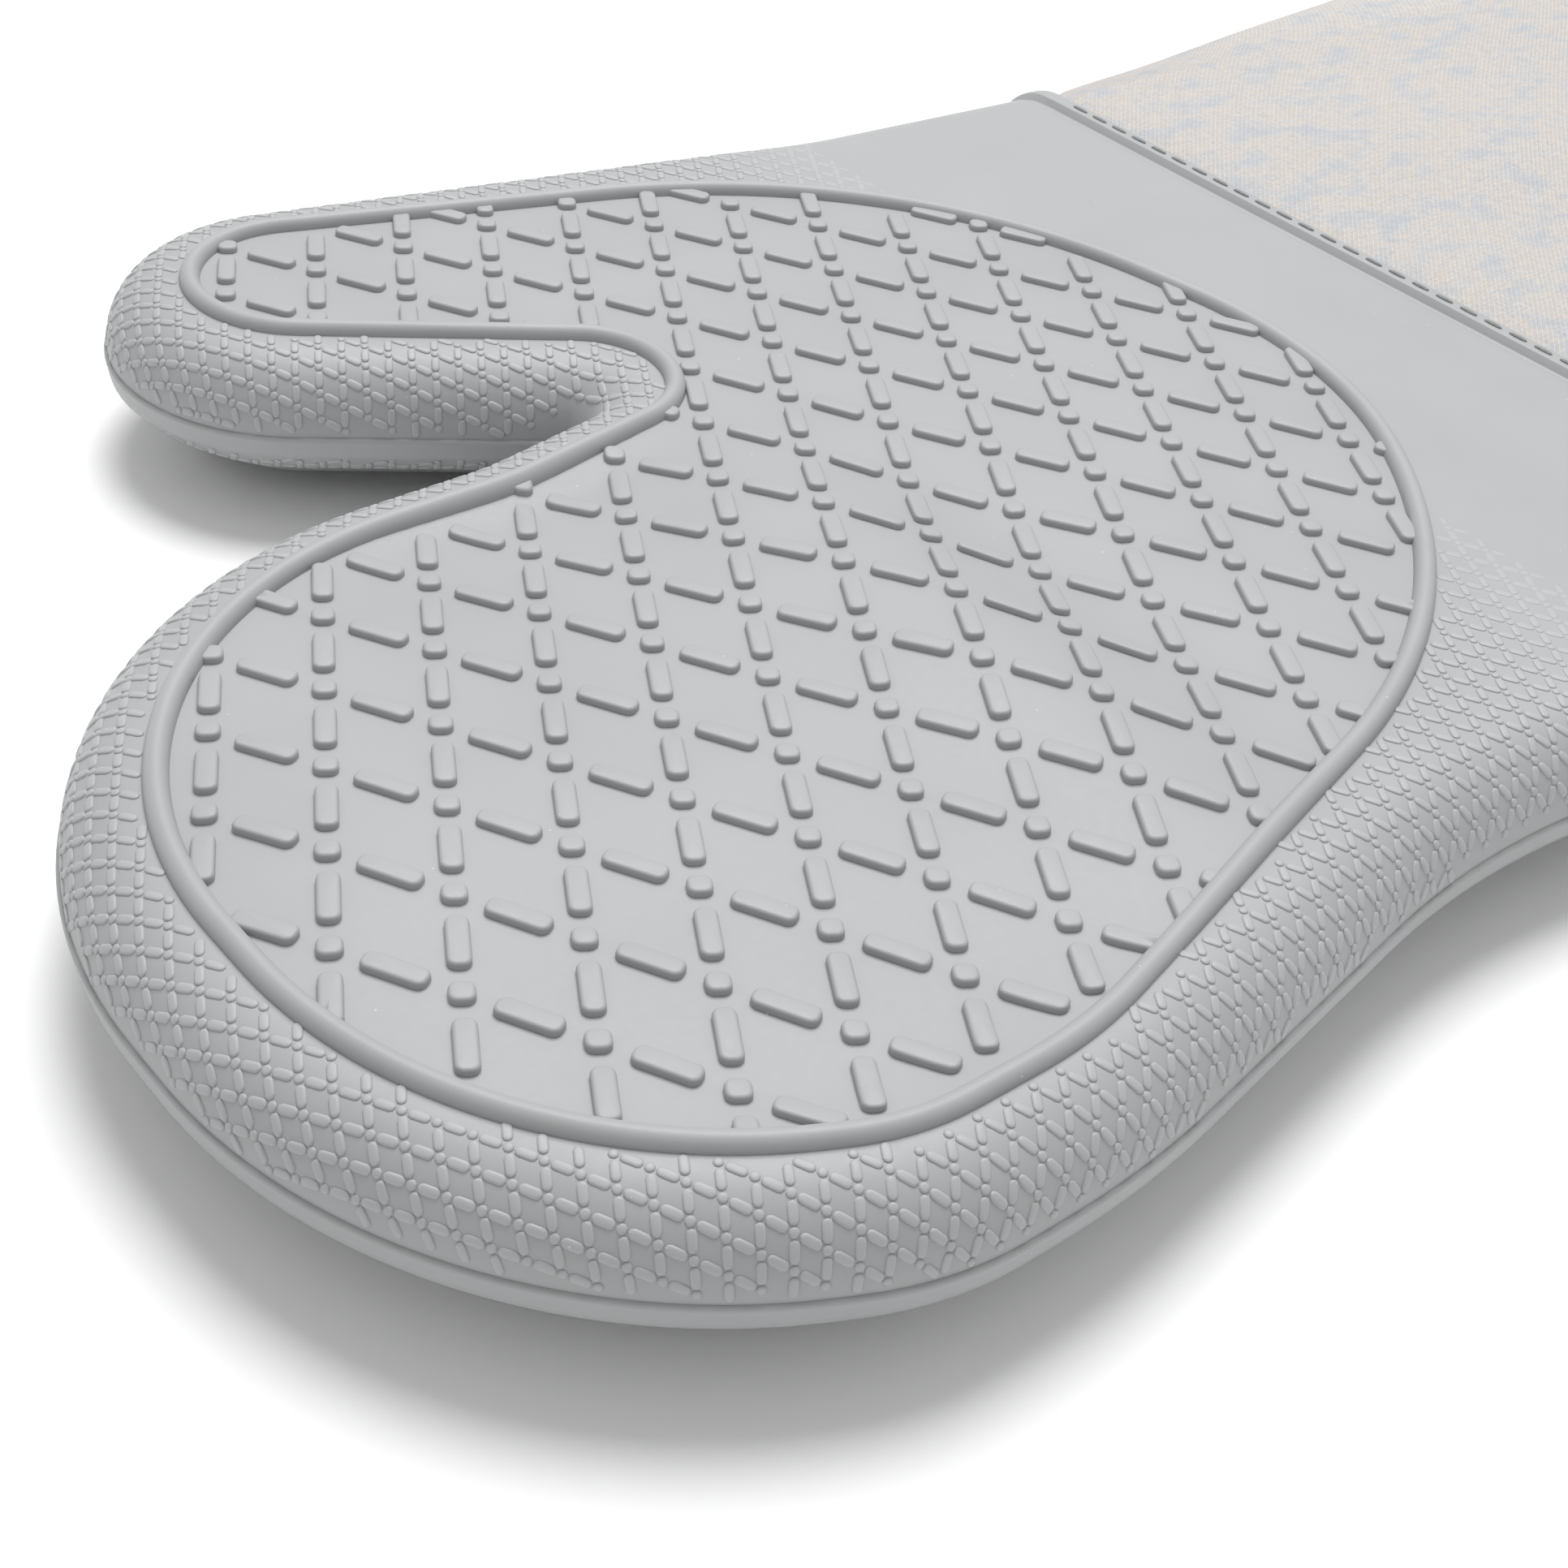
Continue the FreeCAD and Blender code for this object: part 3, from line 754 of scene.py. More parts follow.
def plain_weave_material(name, light, dark, pitch, strength=0.5):
    """Plain weave in one yarn colour with small differences from thread to thread."""
    material, tree, shader = new_material(name)
    place = cloth_coordinates(tree)
    threads = noise(tree, stretched(tree, place, (0.7 / pitch, 0.25 / pitch, 1)), 1.0, 3.0)
    tree.links.new(colour_ramp(tree, threads, [(0.3, dark), (0.7, light)]), shader.inputs["Base Color"])
    along = add_node(tree, "ShaderNodeTexWave", {"Vector": place, "Scale": 0.314 / pitch, "Distortion": 0.3})
    across = add_node(tree, "ShaderNodeTexWave", {
        "Vector": place, "Scale": 0.314 / pitch, "Distortion": 0.3}, bands_direction="Y")
    height = math_node(tree, "MULTIPLY", along.outputs["Fac"], across.outputs["Fac"])
    tree.links.new(bump(tree, height, strength, 0.0003), shader.inputs["Normal"])
    shader.inputs["Roughness"].default_value = 0.9
    shader.inputs["Specular IOR Level"].default_value = 0.15
    return material


def fibre_material(name, light, dark, scale, roughness=0.95):
    """Loose fibre or twisted thread, mottled finely."""
    material, tree, shader = new_material(name)
    place = add_node(tree, "ShaderNodeTexCoord").outputs["Object"]
    fibres = noise(tree, place, scale, 4.0, 0.65)
    tree.links.new(colour_ramp(tree, fibres, [(0.35, dark), (0.65, light)]), shader.inputs["Base Color"])
    tree.links.new(bump(tree, fibres, 0.5, 0.0004), shader.inputs["Normal"])
    shader.inputs["Roughness"].default_value = roughness
    shader.inputs["Specular IOR Level"].default_value = 0.15
    return material


SILICONE = silicone_material("silicone", SILICONE_GREY)
# Same silicone painted lighter: painted light on the finely patterned edge.
PAINTED_LIGHT_PATTERN_SILICONE = silicone_material("silicone_fine_pattern_painted_light", PATTERN_PAINTED_LIGHT_GREY)
MELANGE = melange_material()
LINING = plain_weave_material(
    "lining_cotton", grey(182, (1.0, 0.99, 0.965)), grey(168, (1.0, 0.985, 0.95)), 0.0005)
BINDING = plain_weave_material("binding_tape", grey(78, COOL), grey(60, COOL), 0.0006)
WADDING = fibre_material("wadding_fibre", grey(205), grey(190), 900.0)
THREAD = fibre_material("thread_grey", grey(150, COOL), grey(132, COOL), 3000.0, 0.7)
DARK_THREAD = fibre_material("thread_dark", grey(92, COOL), grey(74, COOL), 3000.0, 0.7)


# ------------------------------------------------------------------ silicone skin, wadding, lining

def lip(y):
    """Height of the raised lip at the wrist end, and the fine groove that it leaves before it."""
    rise = ease(y, -0.5, 0.5) * (1 - ease(y, LIP_WIDTH - 0.3, LIP_WIDTH + 0.15))
    groove = 0.3 * np.exp(-((y - LIP_WIDTH - 0.45) / 0.35) ** 2)
    return LIP_HEIGHT * rise - groove


QUILT_PITCH = 26.0


def quilt(points):
    """Puff of a quilted layer between its diagonal stitch lines."""
    one = abs(np.sin(math.pi * (points[:, 0] + points[:, 1]) / QUILT_PITCH))
    two = abs(np.sin(math.pi * (points[:, 0] - points[:, 1]) / QUILT_PITCH))
    return 0.7 * np.sqrt(one * two)


SHELL_NORMALS = SHELL.normals()


def layer_points(depth):
    return SHELL.points - SHELL_NORMALS * (depth if np.ndim(depth) else float(depth))


def add_glove_layers():
    """Silicone skin, wadding and lining, each as palm, fingers and thumb."""
    masks = region_masks(SHELL)
    skin = SHELL.points + SHELL_NORMALS * lip(SHELL.points[:, 1])[:, None]
    skin_inside = layer_points(SILICONE_WALL)
    wadding = layer_points(WADDING_DEPTH), layer_points(LINING_DEPTH - 0.1)
    puff = quilt(SHELL.points)[:, None]
    lining_inside = layer_points(LINING_DEPTH + LINING_THICKNESS) - SHELL_NORMALS * puff
    lining = layer_points(LINING_DEPTH), lining_inside
    flat = SHELL.points[:, :2].copy()
    flat[:, 1] += SHELL.points[:, 2]
    for body, mask in zip(BODY_NAMES, masks):
        piece = thick_piece(f"{body}_silicone", SHELL, skin, skin_inside, mask, SILICONE, "silicone", body)
        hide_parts(f"{body}_shell_front", f"{body}_shell_back")
        piece = thick_piece(f"{body}_wadding", SHELL, *wadding, mask, WADDING, "wadding", body)
        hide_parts(f"{body}_batting_front", f"{body}_batting_back")
        piece = thick_piece(f"{body}_lining", SHELL, *lining, mask, LINING, "cotton_lining", body, flat)
        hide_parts(f"{body}_lining_front", f"{body}_lining_back")


# ------------------------------------------------------------------ bead, parting ridge

def grid_quads(rows, columns, close_rows=False, close_columns=False):
    """Faces of a grid of points numbered row by row."""
    row = np.arange(rows if close_rows else rows - 1)
    column = np.arange(columns if close_columns else columns - 1)
    r, c = np.meshgrid(row, column, indexing="ij")
    r2 = (r + 1) % rows
    c2 = (c + 1) % columns
    corners = [r * columns + c, r2 * columns + c, r2 * columns + c2, r * columns + c2]
    return np.stack(corners, -1).reshape(-1, 4)


def add_split(name, mesh, material):
    """A mesh shared out among palm, fingers and thumb."""
    shading = mesh.normals()
    for body, (quad_mask, tri_mask) in zip(BODY_NAMES, region_masks(mesh)):
        if not quad_mask.any() and not tri_mask.any():
            continue
        part, used = part_of(mesh, quad_mask, tri_mask)
        corners = np.concatenate([part.quads.ravel(), part.tris.ravel()])
        add_piece(f"{body}_{name}", part, material, body, shading[used][corners])


BEAD_STEPS = 12


def bead_mesh(facing):
    """Half-round bead that frames the grip panel."""
    rows = BEAD.walk(0.1)
    length_at = lengths_along(rows[:, :2])
    wanted = spread(length_at, np.clip(0.06 * rows[:, 4], 0.6, 1.5))[:-1]
    points, inward = along_line(rows, wanted, length_at)
    angle = np.linspace(-0.25, math.pi + 0.25, BEAD_STEPS + 1)
    across = BEAD_WIDTH / 2 * np.cos(angle)
    rise = BEAD_HEIGHT * np.sin(angle)
    grid = np.empty((len(points), len(angle), 3))
    for index in range(len(angle)):
        foot, _ = surface(points + inward * across[index], facing)
        foot[:, 2] += facing * rise[index]
        grid[:, index] = foot
    quads = grid_quads(len(points), len(angle), close_rows=True, close_columns=True)
    if facing == FRONT:
        quads = quads[:, ::-1]
    return Mesh(grid.reshape(-1, 3), quads, [])


# Parting ridge: distance out from the edge and height above the parting line
RIDGE = [
    (-0.5, 0.62), (0.02, 0.58), (0.26, 0.46), (0.40, 0.22), (0.40, -0.02), (0.30, -0.30),
    (0.26, -0.80), (0.16, -1.50), (-0.02, -2.30), (-0.5, -2.40),
]


def ridge_mesh():
    """Thin ridge that the mould leaves where its halves meet."""
    grid = np.empty((len(RIM), len(RIDGE), 3))
    for index, (out, height) in enumerate(RIDGE):
        grid[:, index, :2] = RIM - RIM_INWARD * out
        grid[:, index, 2] = PARTING_Z + height
    quads = grid_quads(len(RIM), len(RIDGE), close_columns=True)
    last = (len(RIM) - 1) * len(RIDGE)
    caps = []
    for index in range(1, len(RIDGE) - 1):
        caps.append((0, index, index + 1))
        caps.append((last, last + index + 1, last + index))
    return Mesh(grid.reshape(-1, 3), quads, caps)


# ------------------------------------------------------------------ grip pattern

LATTICE_START = np.array([2.5, 190.0])
LATTICE_A = np.array([-math.sqrt(3) / 2, -0.5])
LATTICE_B = np.array([-math.sqrt(3) / 2, 0.5])
COARSE_PITCH = 12.5
FINE_PITCH = 3.125


def rounded_box(length, width, radius, steps, along):
    """Outline of a box with round corners, with extra points on its long sides."""
    points = []
    for corner_x, corner_y, first in ((1, 1, 0), (-1, 1, 90), (-1, -1, 180), (1, -1, 270)):
        centre = np.array([corner_x * (length / 2 - radius), corner_y * (width / 2 - radius)])
        for share in range(steps + 1):
            points.append(centre + radius * unit(first + 90 * share / steps))
        if first in (0, 180):
            far = np.array([-corner_x * (length / 2 - radius), corner_y * width / 2])
            near = points[-1]
            for share in range(1, along + 1):
                points.append(near + (far - near) * share / (along + 1))
    return np.array(points)


def lattice(pitch, low_x, high_x, low_y, high_y):
    """Middle, direction and kind of every bar and dot over a range."""
    places = []
    steps_x = int(260 / (pitch * 0.866)) + 2
    steps_y = int(260 / (pitch * 0.5)) + 2
    for m in range(-steps_x, steps_x + 1):
        for k in range(-steps_y, steps_y + 1):
            if (m + k) % 2:
                continue
            dot = LATTICE_START + np.array([-math.sqrt(3) / 2 * pitch * m, 0.5 * pitch * k])
            if low_x < dot[0] < high_x and low_y < dot[1] < high_y:
                places.append((*dot, *LATTICE_B, 0))
                places.append((*(dot + LATTICE_A * pitch / 2), *LATTICE_A, 1))
                places.append((*(dot + LATTICE_B * pitch / 2), *LATTICE_B, 1))
    return np.array(places)


def stamped(places, outlines):
    """Flat points of raised shapes: one ring of points for each outline, for every place."""
    along = places[:, 2:4]
    across = np.column_stack([-along[:, 1], along[:, 0]])
    flat = np.empty((len(places), len(outlines), len(outlines[0]), 2))
    for index, outline in enumerate(outlines):
        flat[:, index] = (
            places[:, None, :2] + outline[None, :, :1] * along[:, None]
            + outline[None, :, 1:] * across[:, None])
    return flat


def relief_mesh(raised, facing):
    """Closed-over shapes from rings of points already in place: sides in quads, tops as fans."""
    places, rings, size, _ = raised.shape
    points = raised.reshape(places, rings * size, 3)
    middle = raised[:, -1].mean(axis=1)[:, None]
    points = np.concatenate([points, middle], axis=1)
    ring_quads = grid_quads(rings, size, close_columns=True)
    top = (rings - 1) * size
    fan = np.array([(top + index, top + (index + 1) % size, rings * size) for index in range(size)])
    ring_quads = ring_quads[:, ::-1]
    if facing == BACK:
        ring_quads = ring_quads[:, ::-1]
        fan = fan[:, ::-1]
    shift = (np.arange(places) * (rings * size + 1))[:, None, None]
    quads = (ring_quads[None] + shift).reshape(-1, 4)
    tris = (fan[None] + shift).reshape(-1, 3)
    return Mesh(points.reshape(-1, 3), quads, tris)


# Rings of a grip pad: how far in from its outline and how high
PAD_RINGS = [(0.0, -0.2), (0.0, 0.45), (0.07, 0.64), (0.20, 0.76), (0.38, 0.80)]
PAD_BAR = (6.3, 2.2, 0.85)
PAD_DOT = (2.4, 2.4, 0.85)


def grip_pads(facing):
    """Bars and dots of the grip panel, cut off where they meet the bead."""
    places = lattice(COARSE_PITCH, -90, 115, 0, 205)
    raised = []
    homes = []
    for kind, (length, width, radius) in ((0, PAD_DOT), (1, PAD_BAR)):
        chosen = places[places[:, 4] == kind]
        outlines = [
            rounded_box(length - 2 * inset, width - 2 * inset, radius - inset, 4, 4)
            for inset, _ in PAD_RINGS]
        flat = stamped(chosen, outlines)
        count, rings, size, _ = flat.shape
        inside, inward = BEAD.depth(flat.reshape(-1, 2))
        reach = inside.reshape(count, rings, size)[:, 0].max(axis=1)
        moved = flat.reshape(-1, 2) + inward * np.maximum(0.2 - inside, 0)[:, None]
        foot, _ = surface(moved, facing)
        lift = np.array([height for _, height in PAD_RINGS])
        foot[:, 2] += facing * np.tile(np.repeat(lift, size), count)
        kept = reach > BEAD_WIDTH / 2 + 0.8
        raised.append(foot.reshape(count, rings, size, 3)[kept])
        homes.append(regions(chosen[kept, :2]))
    return raised, homes


# Rings of the fine edge pattern, and its bar and dot: length, width, corner radius
FINE_RINGS = [(0.0, -0.06), (0.02, 0.07), (0.14, 0.15), (0.30, 0.18)]
FINE_BAR = (2.05, 0.95, 0.46)
FINE_DOT = (0.95, 0.95, 0.44)
FADE_LOW_Y = 36.0
FADE_HIGH_Y = 68.0


def fine_limit(facing):
    """How far past the outline the fine pattern is laid out, to be wrapped down the edge."""
    inset, rise = edge_curve(facing, 300)
    return np.hypot(np.diff(inset), np.diff(rise)).sum() - EDGE_WIDTH - 1.2


def fine_pattern(facing):
    """Fine bars and dots of the rounded edge, which fade out on the heel of the hand."""
    places = lattice(FINE_PITCH, -100, 118, 30, 210)
    depth = GLOVE.depth(places[:, :2])[0]
    bead_depth = BEAD.depth(places[:, :2])[0]
    places = places[(depth > -fine_limit(facing)) & (bead_depth < -BEAD_WIDTH / 2 - 0.55)]
    pieces = []
    homes = []
    for kind, (length, width, radius) in ((0, FINE_DOT), (1, FINE_BAR)):
        chosen = places[places[:, 4] == kind]
        outlines = [
            rounded_box(length - 2 * inset, width - 2 * inset, radius - inset, 2, 1)
            for inset, _ in FINE_RINGS]
        flat = stamped(chosen, outlines)
        count, rings, size, _ = flat.shape
        foot, normal = surface(flat.reshape(-1, 2), facing, wrapped=True)
        lift = np.tile(np.repeat([height for _, height in FINE_RINGS], size), count)
        fade = ease(flat.reshape(-1, 2)[:, 1], FADE_LOW_Y, FADE_HIGH_Y)
        sunk = np.where(lift > 0, lift * fade - 0.03 * (1 - fade), lift)
        raised = (foot + normal * sunk[:, None]).reshape(count, rings, size, 3)
        spread_now = np.ptp(raised[:, 0], axis=1).max(axis=1)
        low = raised[:, 0, :, 2] - PARTING_Z
        clear = (abs(low) > 0.75).all(axis=1) if facing == FRONT else (abs(low) > 2.3).all(axis=1)
        kept = (spread_now < 1.5 * length) & clear & (fade.reshape(count, -1).mean(axis=1) > 0.06)
        pieces.append(raised[kept])
        homes.append(regions(raised[kept][:, 0].mean(axis=1)))
    return pieces, homes


def add_pattern(name, maker, material):
    """Raised shapes of both faces, shared out among palm, fingers and thumb, each shape whole."""
    for face_name, facing in FACES.items():
        shapes, homes = maker(facing)
        for number, body in enumerate(BODY_NAMES):
            mine = [raised[home == number] for raised, home in zip(shapes, homes)]
            mesh = joined([relief_mesh(raised, facing) for raised in mine if len(raised)])
            add_piece(f"{body}_{name}_{face_name}", mesh, material, body)


# ------------------------------------------------------------------ cuff

CUFF_EDGE_STEPS = 10
CUFF_FLAT_STEPS = 60
CUFF_ROWS = [0.15, 0.8, 1.6, 2.6, 4.0, 6.0, 8.0]


def cuff_ring(y):
    """Section of the cuff's outside at y, as (x, z) points once round from the thumb side."""
    share = -y / CUFF_LENGTH
    half = 79.3 + share * (HEM_HALF_WIDTH - 79.3)
    low = BEAD_HEIGHT + CUFF_STEP + share * (1.3 - BEAD_HEIGHT - CUFF_STEP)
    high = TOP_Z - BEAD_HEIGHT - CUFF_STEP + share * (25.3 - TOP_Z + BEAD_HEIGHT + CUFF_STEP)
    low_width = BACK_EDGE_WIDTH - 0.4
    width = EDGE_WIDTH - 0.4 + (BACK_EDGE_WIDTH - EDGE_WIDTH) * ease(share, 0.0, 1.0)
    power = EDGE_POWER
    turn = np.linspace(0, math.pi / 2, CUFF_EDGE_STEPS + 1)
    inset = width * (1 - np.cos(turn) ** (2 / power))
    inset[-1] = width
    rise = np.sin(turn) ** (2 / power)
    flat = np.linspace(half - width, width - half, CUFF_FLAT_STEPS + 1)[1:-1]
    x = np.concatenate([half - inset, flat, (inset - half)[::-1]])
    level = np.concatenate([rise, np.ones(len(flat)), rise[::-1]])
    top = np.column_stack([x, PARTING_Z + (high - PARTING_Z) * level])
    past = np.clip((abs(x) - half + low_width) / low_width, 0, 1)
    low_level = np.sqrt(1 - past ** 2)
    bottom = np.column_stack([x, PARTING_Z - (PARTING_Z - low) * low_level])
    return np.concatenate([top, bottom[1:-1][::-1]])


def ripple(x, y, facing):
    """Soft unevenness of the padded cuff: none at the hem, small puckers at the wrist seam."""
    share = -y / CUFF_LENGTH
    free = ease(share, 0.0, 0.3) * (1 - ease(share, 0.82, 0.93))
    slow = 0.55 * np.sin(x / 17.0 + y / 31.0 + facing) + 0.35 * np.sin(x / 9.5 - y / 14.0 + 2.0 * facing)
    pucker = 0.16 * np.cos(2 * math.pi * x / (2 * STITCH_PITCH)) * np.exp(y / 5.0)
    return slow * free + pucker


def cuff_surface():
    """Outside of the cuff as a tube, one row of points for each y."""
    rows_y = [-y for y in CUFF_ROWS] + list(np.linspace(-10.5, -CUFF_LENGTH, 42))
    rings = []
    for y in rows_y:
        ring = cuff_ring(y)
        rings.append(np.column_stack([ring[:, 0], np.full(len(ring), y), ring[:, 1]]))
    grid = np.array(rings)
    quads = grid_quads(len(rows_y), grid.shape[1], close_columns=True)
    mesh = Mesh(grid.reshape(-1, 3), quads, [])
    outward = mesh.normals()
    if (outward * (mesh.points - [0, -60, PARTING_Z]))[:, 0].sum() < 0:
        mesh.quads = mesh.quads[:, ::-1]
        outward = -outward
    facing = np.where(mesh.points[:, 2] > PARTING_Z, 1.0, -1.0)
    lift = ripple(mesh.points[:, 0], mesh.points[:, 1], facing)
    side = abs(mesh.points[:, 2] - PARTING_Z)
    lift *= ease(side, 3.0, 9.0)
    share = -mesh.points[:, 1] / CUFF_LENGTH
    rise = ease(share, 0.0, 0.06)
    lift += -0.5 * (1 - rise)
    lift -= 0.5 * np.exp(-(side / 0.9) ** 2)
    mesh.points = mesh.points + outward * lift[:, None]
    around = lengths_along(grid[20])
    uv = np.column_stack([np.tile(around, len(rows_y)), mesh.points[:, 1]])
    return mesh, uv


def add_cuff():
    """Fabric, wadding and lining of the cuff, each with a front and a back panel."""
    mesh, uv = cuff_surface()
    outward = mesh.normals()
    middles = mesh.middles()
    upper = middles[:, 2] > PARTING_Z
    none = np.zeros(0, bool)
    fabric = mesh.points, mesh.points - outward * CUFF_FABRIC
    wadding_inside = mesh.points - outward * (CUFF_LINING_DEPTH - 0.1)
    wadding = mesh.points - outward * CUFF_WADDING_DEPTH, wadding_inside
    from_seam = -mesh.points[:, 1]
    puff = (quilt(mesh.points) * ease(from_seam, 0, 10) * (1 - ease(from_seam, 96, 102)))[:, None]
    lining = mesh.points - outward * CUFF_LINING_DEPTH, mesh.points - outward * (CUFF_WALL + puff)
    for face_name, mask in (("front", upper), ("back", ~upper)):
        masks = (mask, none)
        piece = thick_piece(
            f"cuff_fabric_{face_name}_cloth", mesh, *fabric, masks, MELANGE, "cuff_fabric", "cuff_bend", uv)
        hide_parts(f"cuff_fabric_{face_name}")
        piece = thick_piece(
            f"cuff_wadding_{face_name}", mesh, *wadding, masks, WADDING, "wadding", "cuff_bend")
        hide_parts(f"cuff_batting_{face_name}")
        piece = thick_piece(
            f"cuff_lining_{face_name}_cloth", mesh, *lining, masks, LINING, "cotton_lining", "cuff_bend", uv)
        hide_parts(f"cuff_lining_{face_name}")


# Binding round the hem: distance in from the cuff's end, and height over the fabric
BINDING_PROFILE = [
    (10.0, 0.02), (10.05, 0.50), (9.75, 0.82), (9.0, 0.92), (8.2, 0.70), (7.4, 0.92), (5.5, 1.0),
    (3.0, 1.0), (1.0, 0.96), (0.2, 0.84), (-0.45, 0.42), (-0.82, -0.3), (-0.92, -1.3), (-0.94, -2.4),
    (-0.86, -3.4), (-0.5, -4.3), (0.1, -4.8), (1.0, -4.95), (3.0, -5.0), (5.5, -5.0), (7.4, -4.92),
    (8.2, -4.75), (9.0, -4.92), (9.75, -4.8), (10.05, -4.5), (10.0, -4.05), (5.0, -4.02), (0.3, -4.0),
    (-0.1, -2.0), (0.3, 0.0), (5.0, 0.01),
]


def ring_frame(y):
    """Points of the cuff's section at y and the directions straight out from them, as (x, z)."""
    ring = cuff_ring(y)
    tangent = np.roll(ring, -1, axis=0) - np.roll(ring, 1, axis=0)
    tangent /= np.linalg.norm(tangent, axis=1)[:, None]
    outward = np.column_stack([tangent[:, 1], -tangent[:, 0]])
    if np.mean(outward[:, 0] * ring[:, 0]) < 0:
        outward = -outward
    return ring, outward


def on_cuff(y, over):
    """Points round the cuff at y, raised over its fabric."""
    ring, outward = ring_frame(max(y, -CUFF_LENGTH))
    place = ring + outward * over
    return np.column_stack([place[:, 0], np.full(len(ring), y), place[:, 1]])


def add_binding():
    """Folded tape over the raw edge of the cuff's layers."""
    around = lengths_along(cuff_ring(-CUFF_LENGTH))
    pucker = 0.06 * np.cos(2 * math.pi * around / STITCH_PITCH)
    grid = []
    for inset, over in BINDING_PROFILE:
        y = inset - CUFF_LENGTH
        ring = on_cuff(y, over)
        if over > 0.5 or over < -4.5:
            outward = ring_frame(max(y, -CUFF_LENGTH))[1]
            near = pucker * math.exp(-((inset - 8.2) / 1.5) ** 2)
            ring[:, 0] += outward[:, 0] * near
            ring[:, 2] += outward[:, 1] * near
        grid.append(ring)
    grid = np.array(grid)
    profile = np.array(BINDING_PROFILE)
    along = lengths_along(profile)
    uv = np.column_stack([np.tile(around, len(grid)), np.repeat(along, len(around))])
    quads = grid_quads(grid.shape[0], grid.shape[1], close_rows=True, close_columns=True)
    mesh = Mesh(grid.reshape(-1, 3), quads, [])
    mesh = outward_facing(mesh)
    piece = add_piece("hem_binding_tape", mesh, BINDING, "cuff", None, uv)
    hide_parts("hem_binding")


def outward_facing(mesh):
    """The mesh with its faces turned so that it encloses a positive volume."""
    a, b, c = (mesh.points[mesh.quads[:, corner]] for corner in (0, 1, 2))
    d = mesh.points[mesh.quads[:, 3]]
    volume = np.einsum("ij,ij->i", a, np.cross(b, c)).sum() + np.einsum("ij,ij->i", a, np.cross(c, d)).sum()
    if len(mesh.tris):
        a, b, c = (mesh.points[mesh.tris[:, corner]] for corner in (0, 1, 2))
        volume += np.einsum("ij,ij->i", a, np.cross(b, c)).sum()
    if volume < 0:
        return Mesh(mesh.points, mesh.quads[:, ::-1], mesh.tris[:, ::-1])
    return mesh


# ------------------------------------------------------------------ stitches

def capsules(middles, along, outward, length, width, height):
    """Short lengths of thread: middles, directions along and out of the cloth."""
    across = np.cross(along, outward)
    stations = np.array([-1.0, -0.94, -0.75, -0.35, 0.0, 0.35, 0.75, 0.94, 1.0])
    thickness = np.sqrt(np.clip(1 - abs(stations) ** 4, 0.0, 1)) + 0.02
    sides = 8
    angle = np.arange(sides) / sides * 2 * math.pi
    points = []
    for station, size in zip(stations, thickness):
        for turn in angle:
            step = (
                along * station * length / 2 + across * math.cos(turn) * width / 2 * size
                + outward * math.sin(turn) * height / 2 * size)
            points.append(middles + step)
    points = np.stack(points, axis=1)
    rings = len(stations)
    quads = grid_quads(rings, sides, close_columns=True)
    last = (rings - 1) * sides
    caps = [(0, index, index + 1) for index in range(1, sides - 1)]
    caps += [(last, last + index + 1, last + index) for index in range(1, sides - 1)]
    shift = (np.arange(len(middles)) * rings * sides)[:, None, None]
    all_quads = (quads[None] + shift).reshape(-1, 4)
    all_caps = (np.array(caps)[None] + shift).reshape(-1, 3)
    return outward_facing(Mesh(points.reshape(-1, 3), all_quads, all_caps))


def joined(meshes):
    points = []
    quads = []
    tris = []
    total = 0
    for mesh in meshes:
        points.append(mesh.points)
        quads.append(mesh.quads + total)
        tris.append(mesh.tris + total)
        total += len(mesh.points)
    return Mesh(np.concatenate(points), np.concatenate(quads), np.concatenate(tris))


def places_round(loop, outward, pitch):
    """Evenly spaced places on a closed loop of points, with directions along and out."""
    closed = np.concatenate([loop, loop[:1]])
    out = np.concatenate([outward, outward[:1]])
    length_at = lengths_along(closed)
    count = int(length_at[-1] / pitch)
    wanted = np.arange(count) / count * length_at[-1]

    def at(values, where):
        where = where % length_at[-1]
        return np.stack([np.interp(where, length_at, values[:, axis]) for axis in range(3)], axis=1)

    middles = at(closed, wanted)
    along = at(closed, wanted + 0.4) - at(closed, wanted - 0.4)
    along /= np.linalg.norm(along, axis=1)[:, None]
    direction = at(out, wanted)
    direction /= np.linalg.norm(direction, axis=1)[:, None]
    return middles, along, direction


# Thread of the hem and of the wrist, and the length of the wrist's row of stitches
HEM_THREAD_WIDTH = 0.7
HEM_THREAD_HEIGHT = 0.55
WRIST_THREAD_WIDTH = 0.6
WRIST_THREAD_HEIGHT = 0.5
WRIST_ROW_LENGTH = 138.0


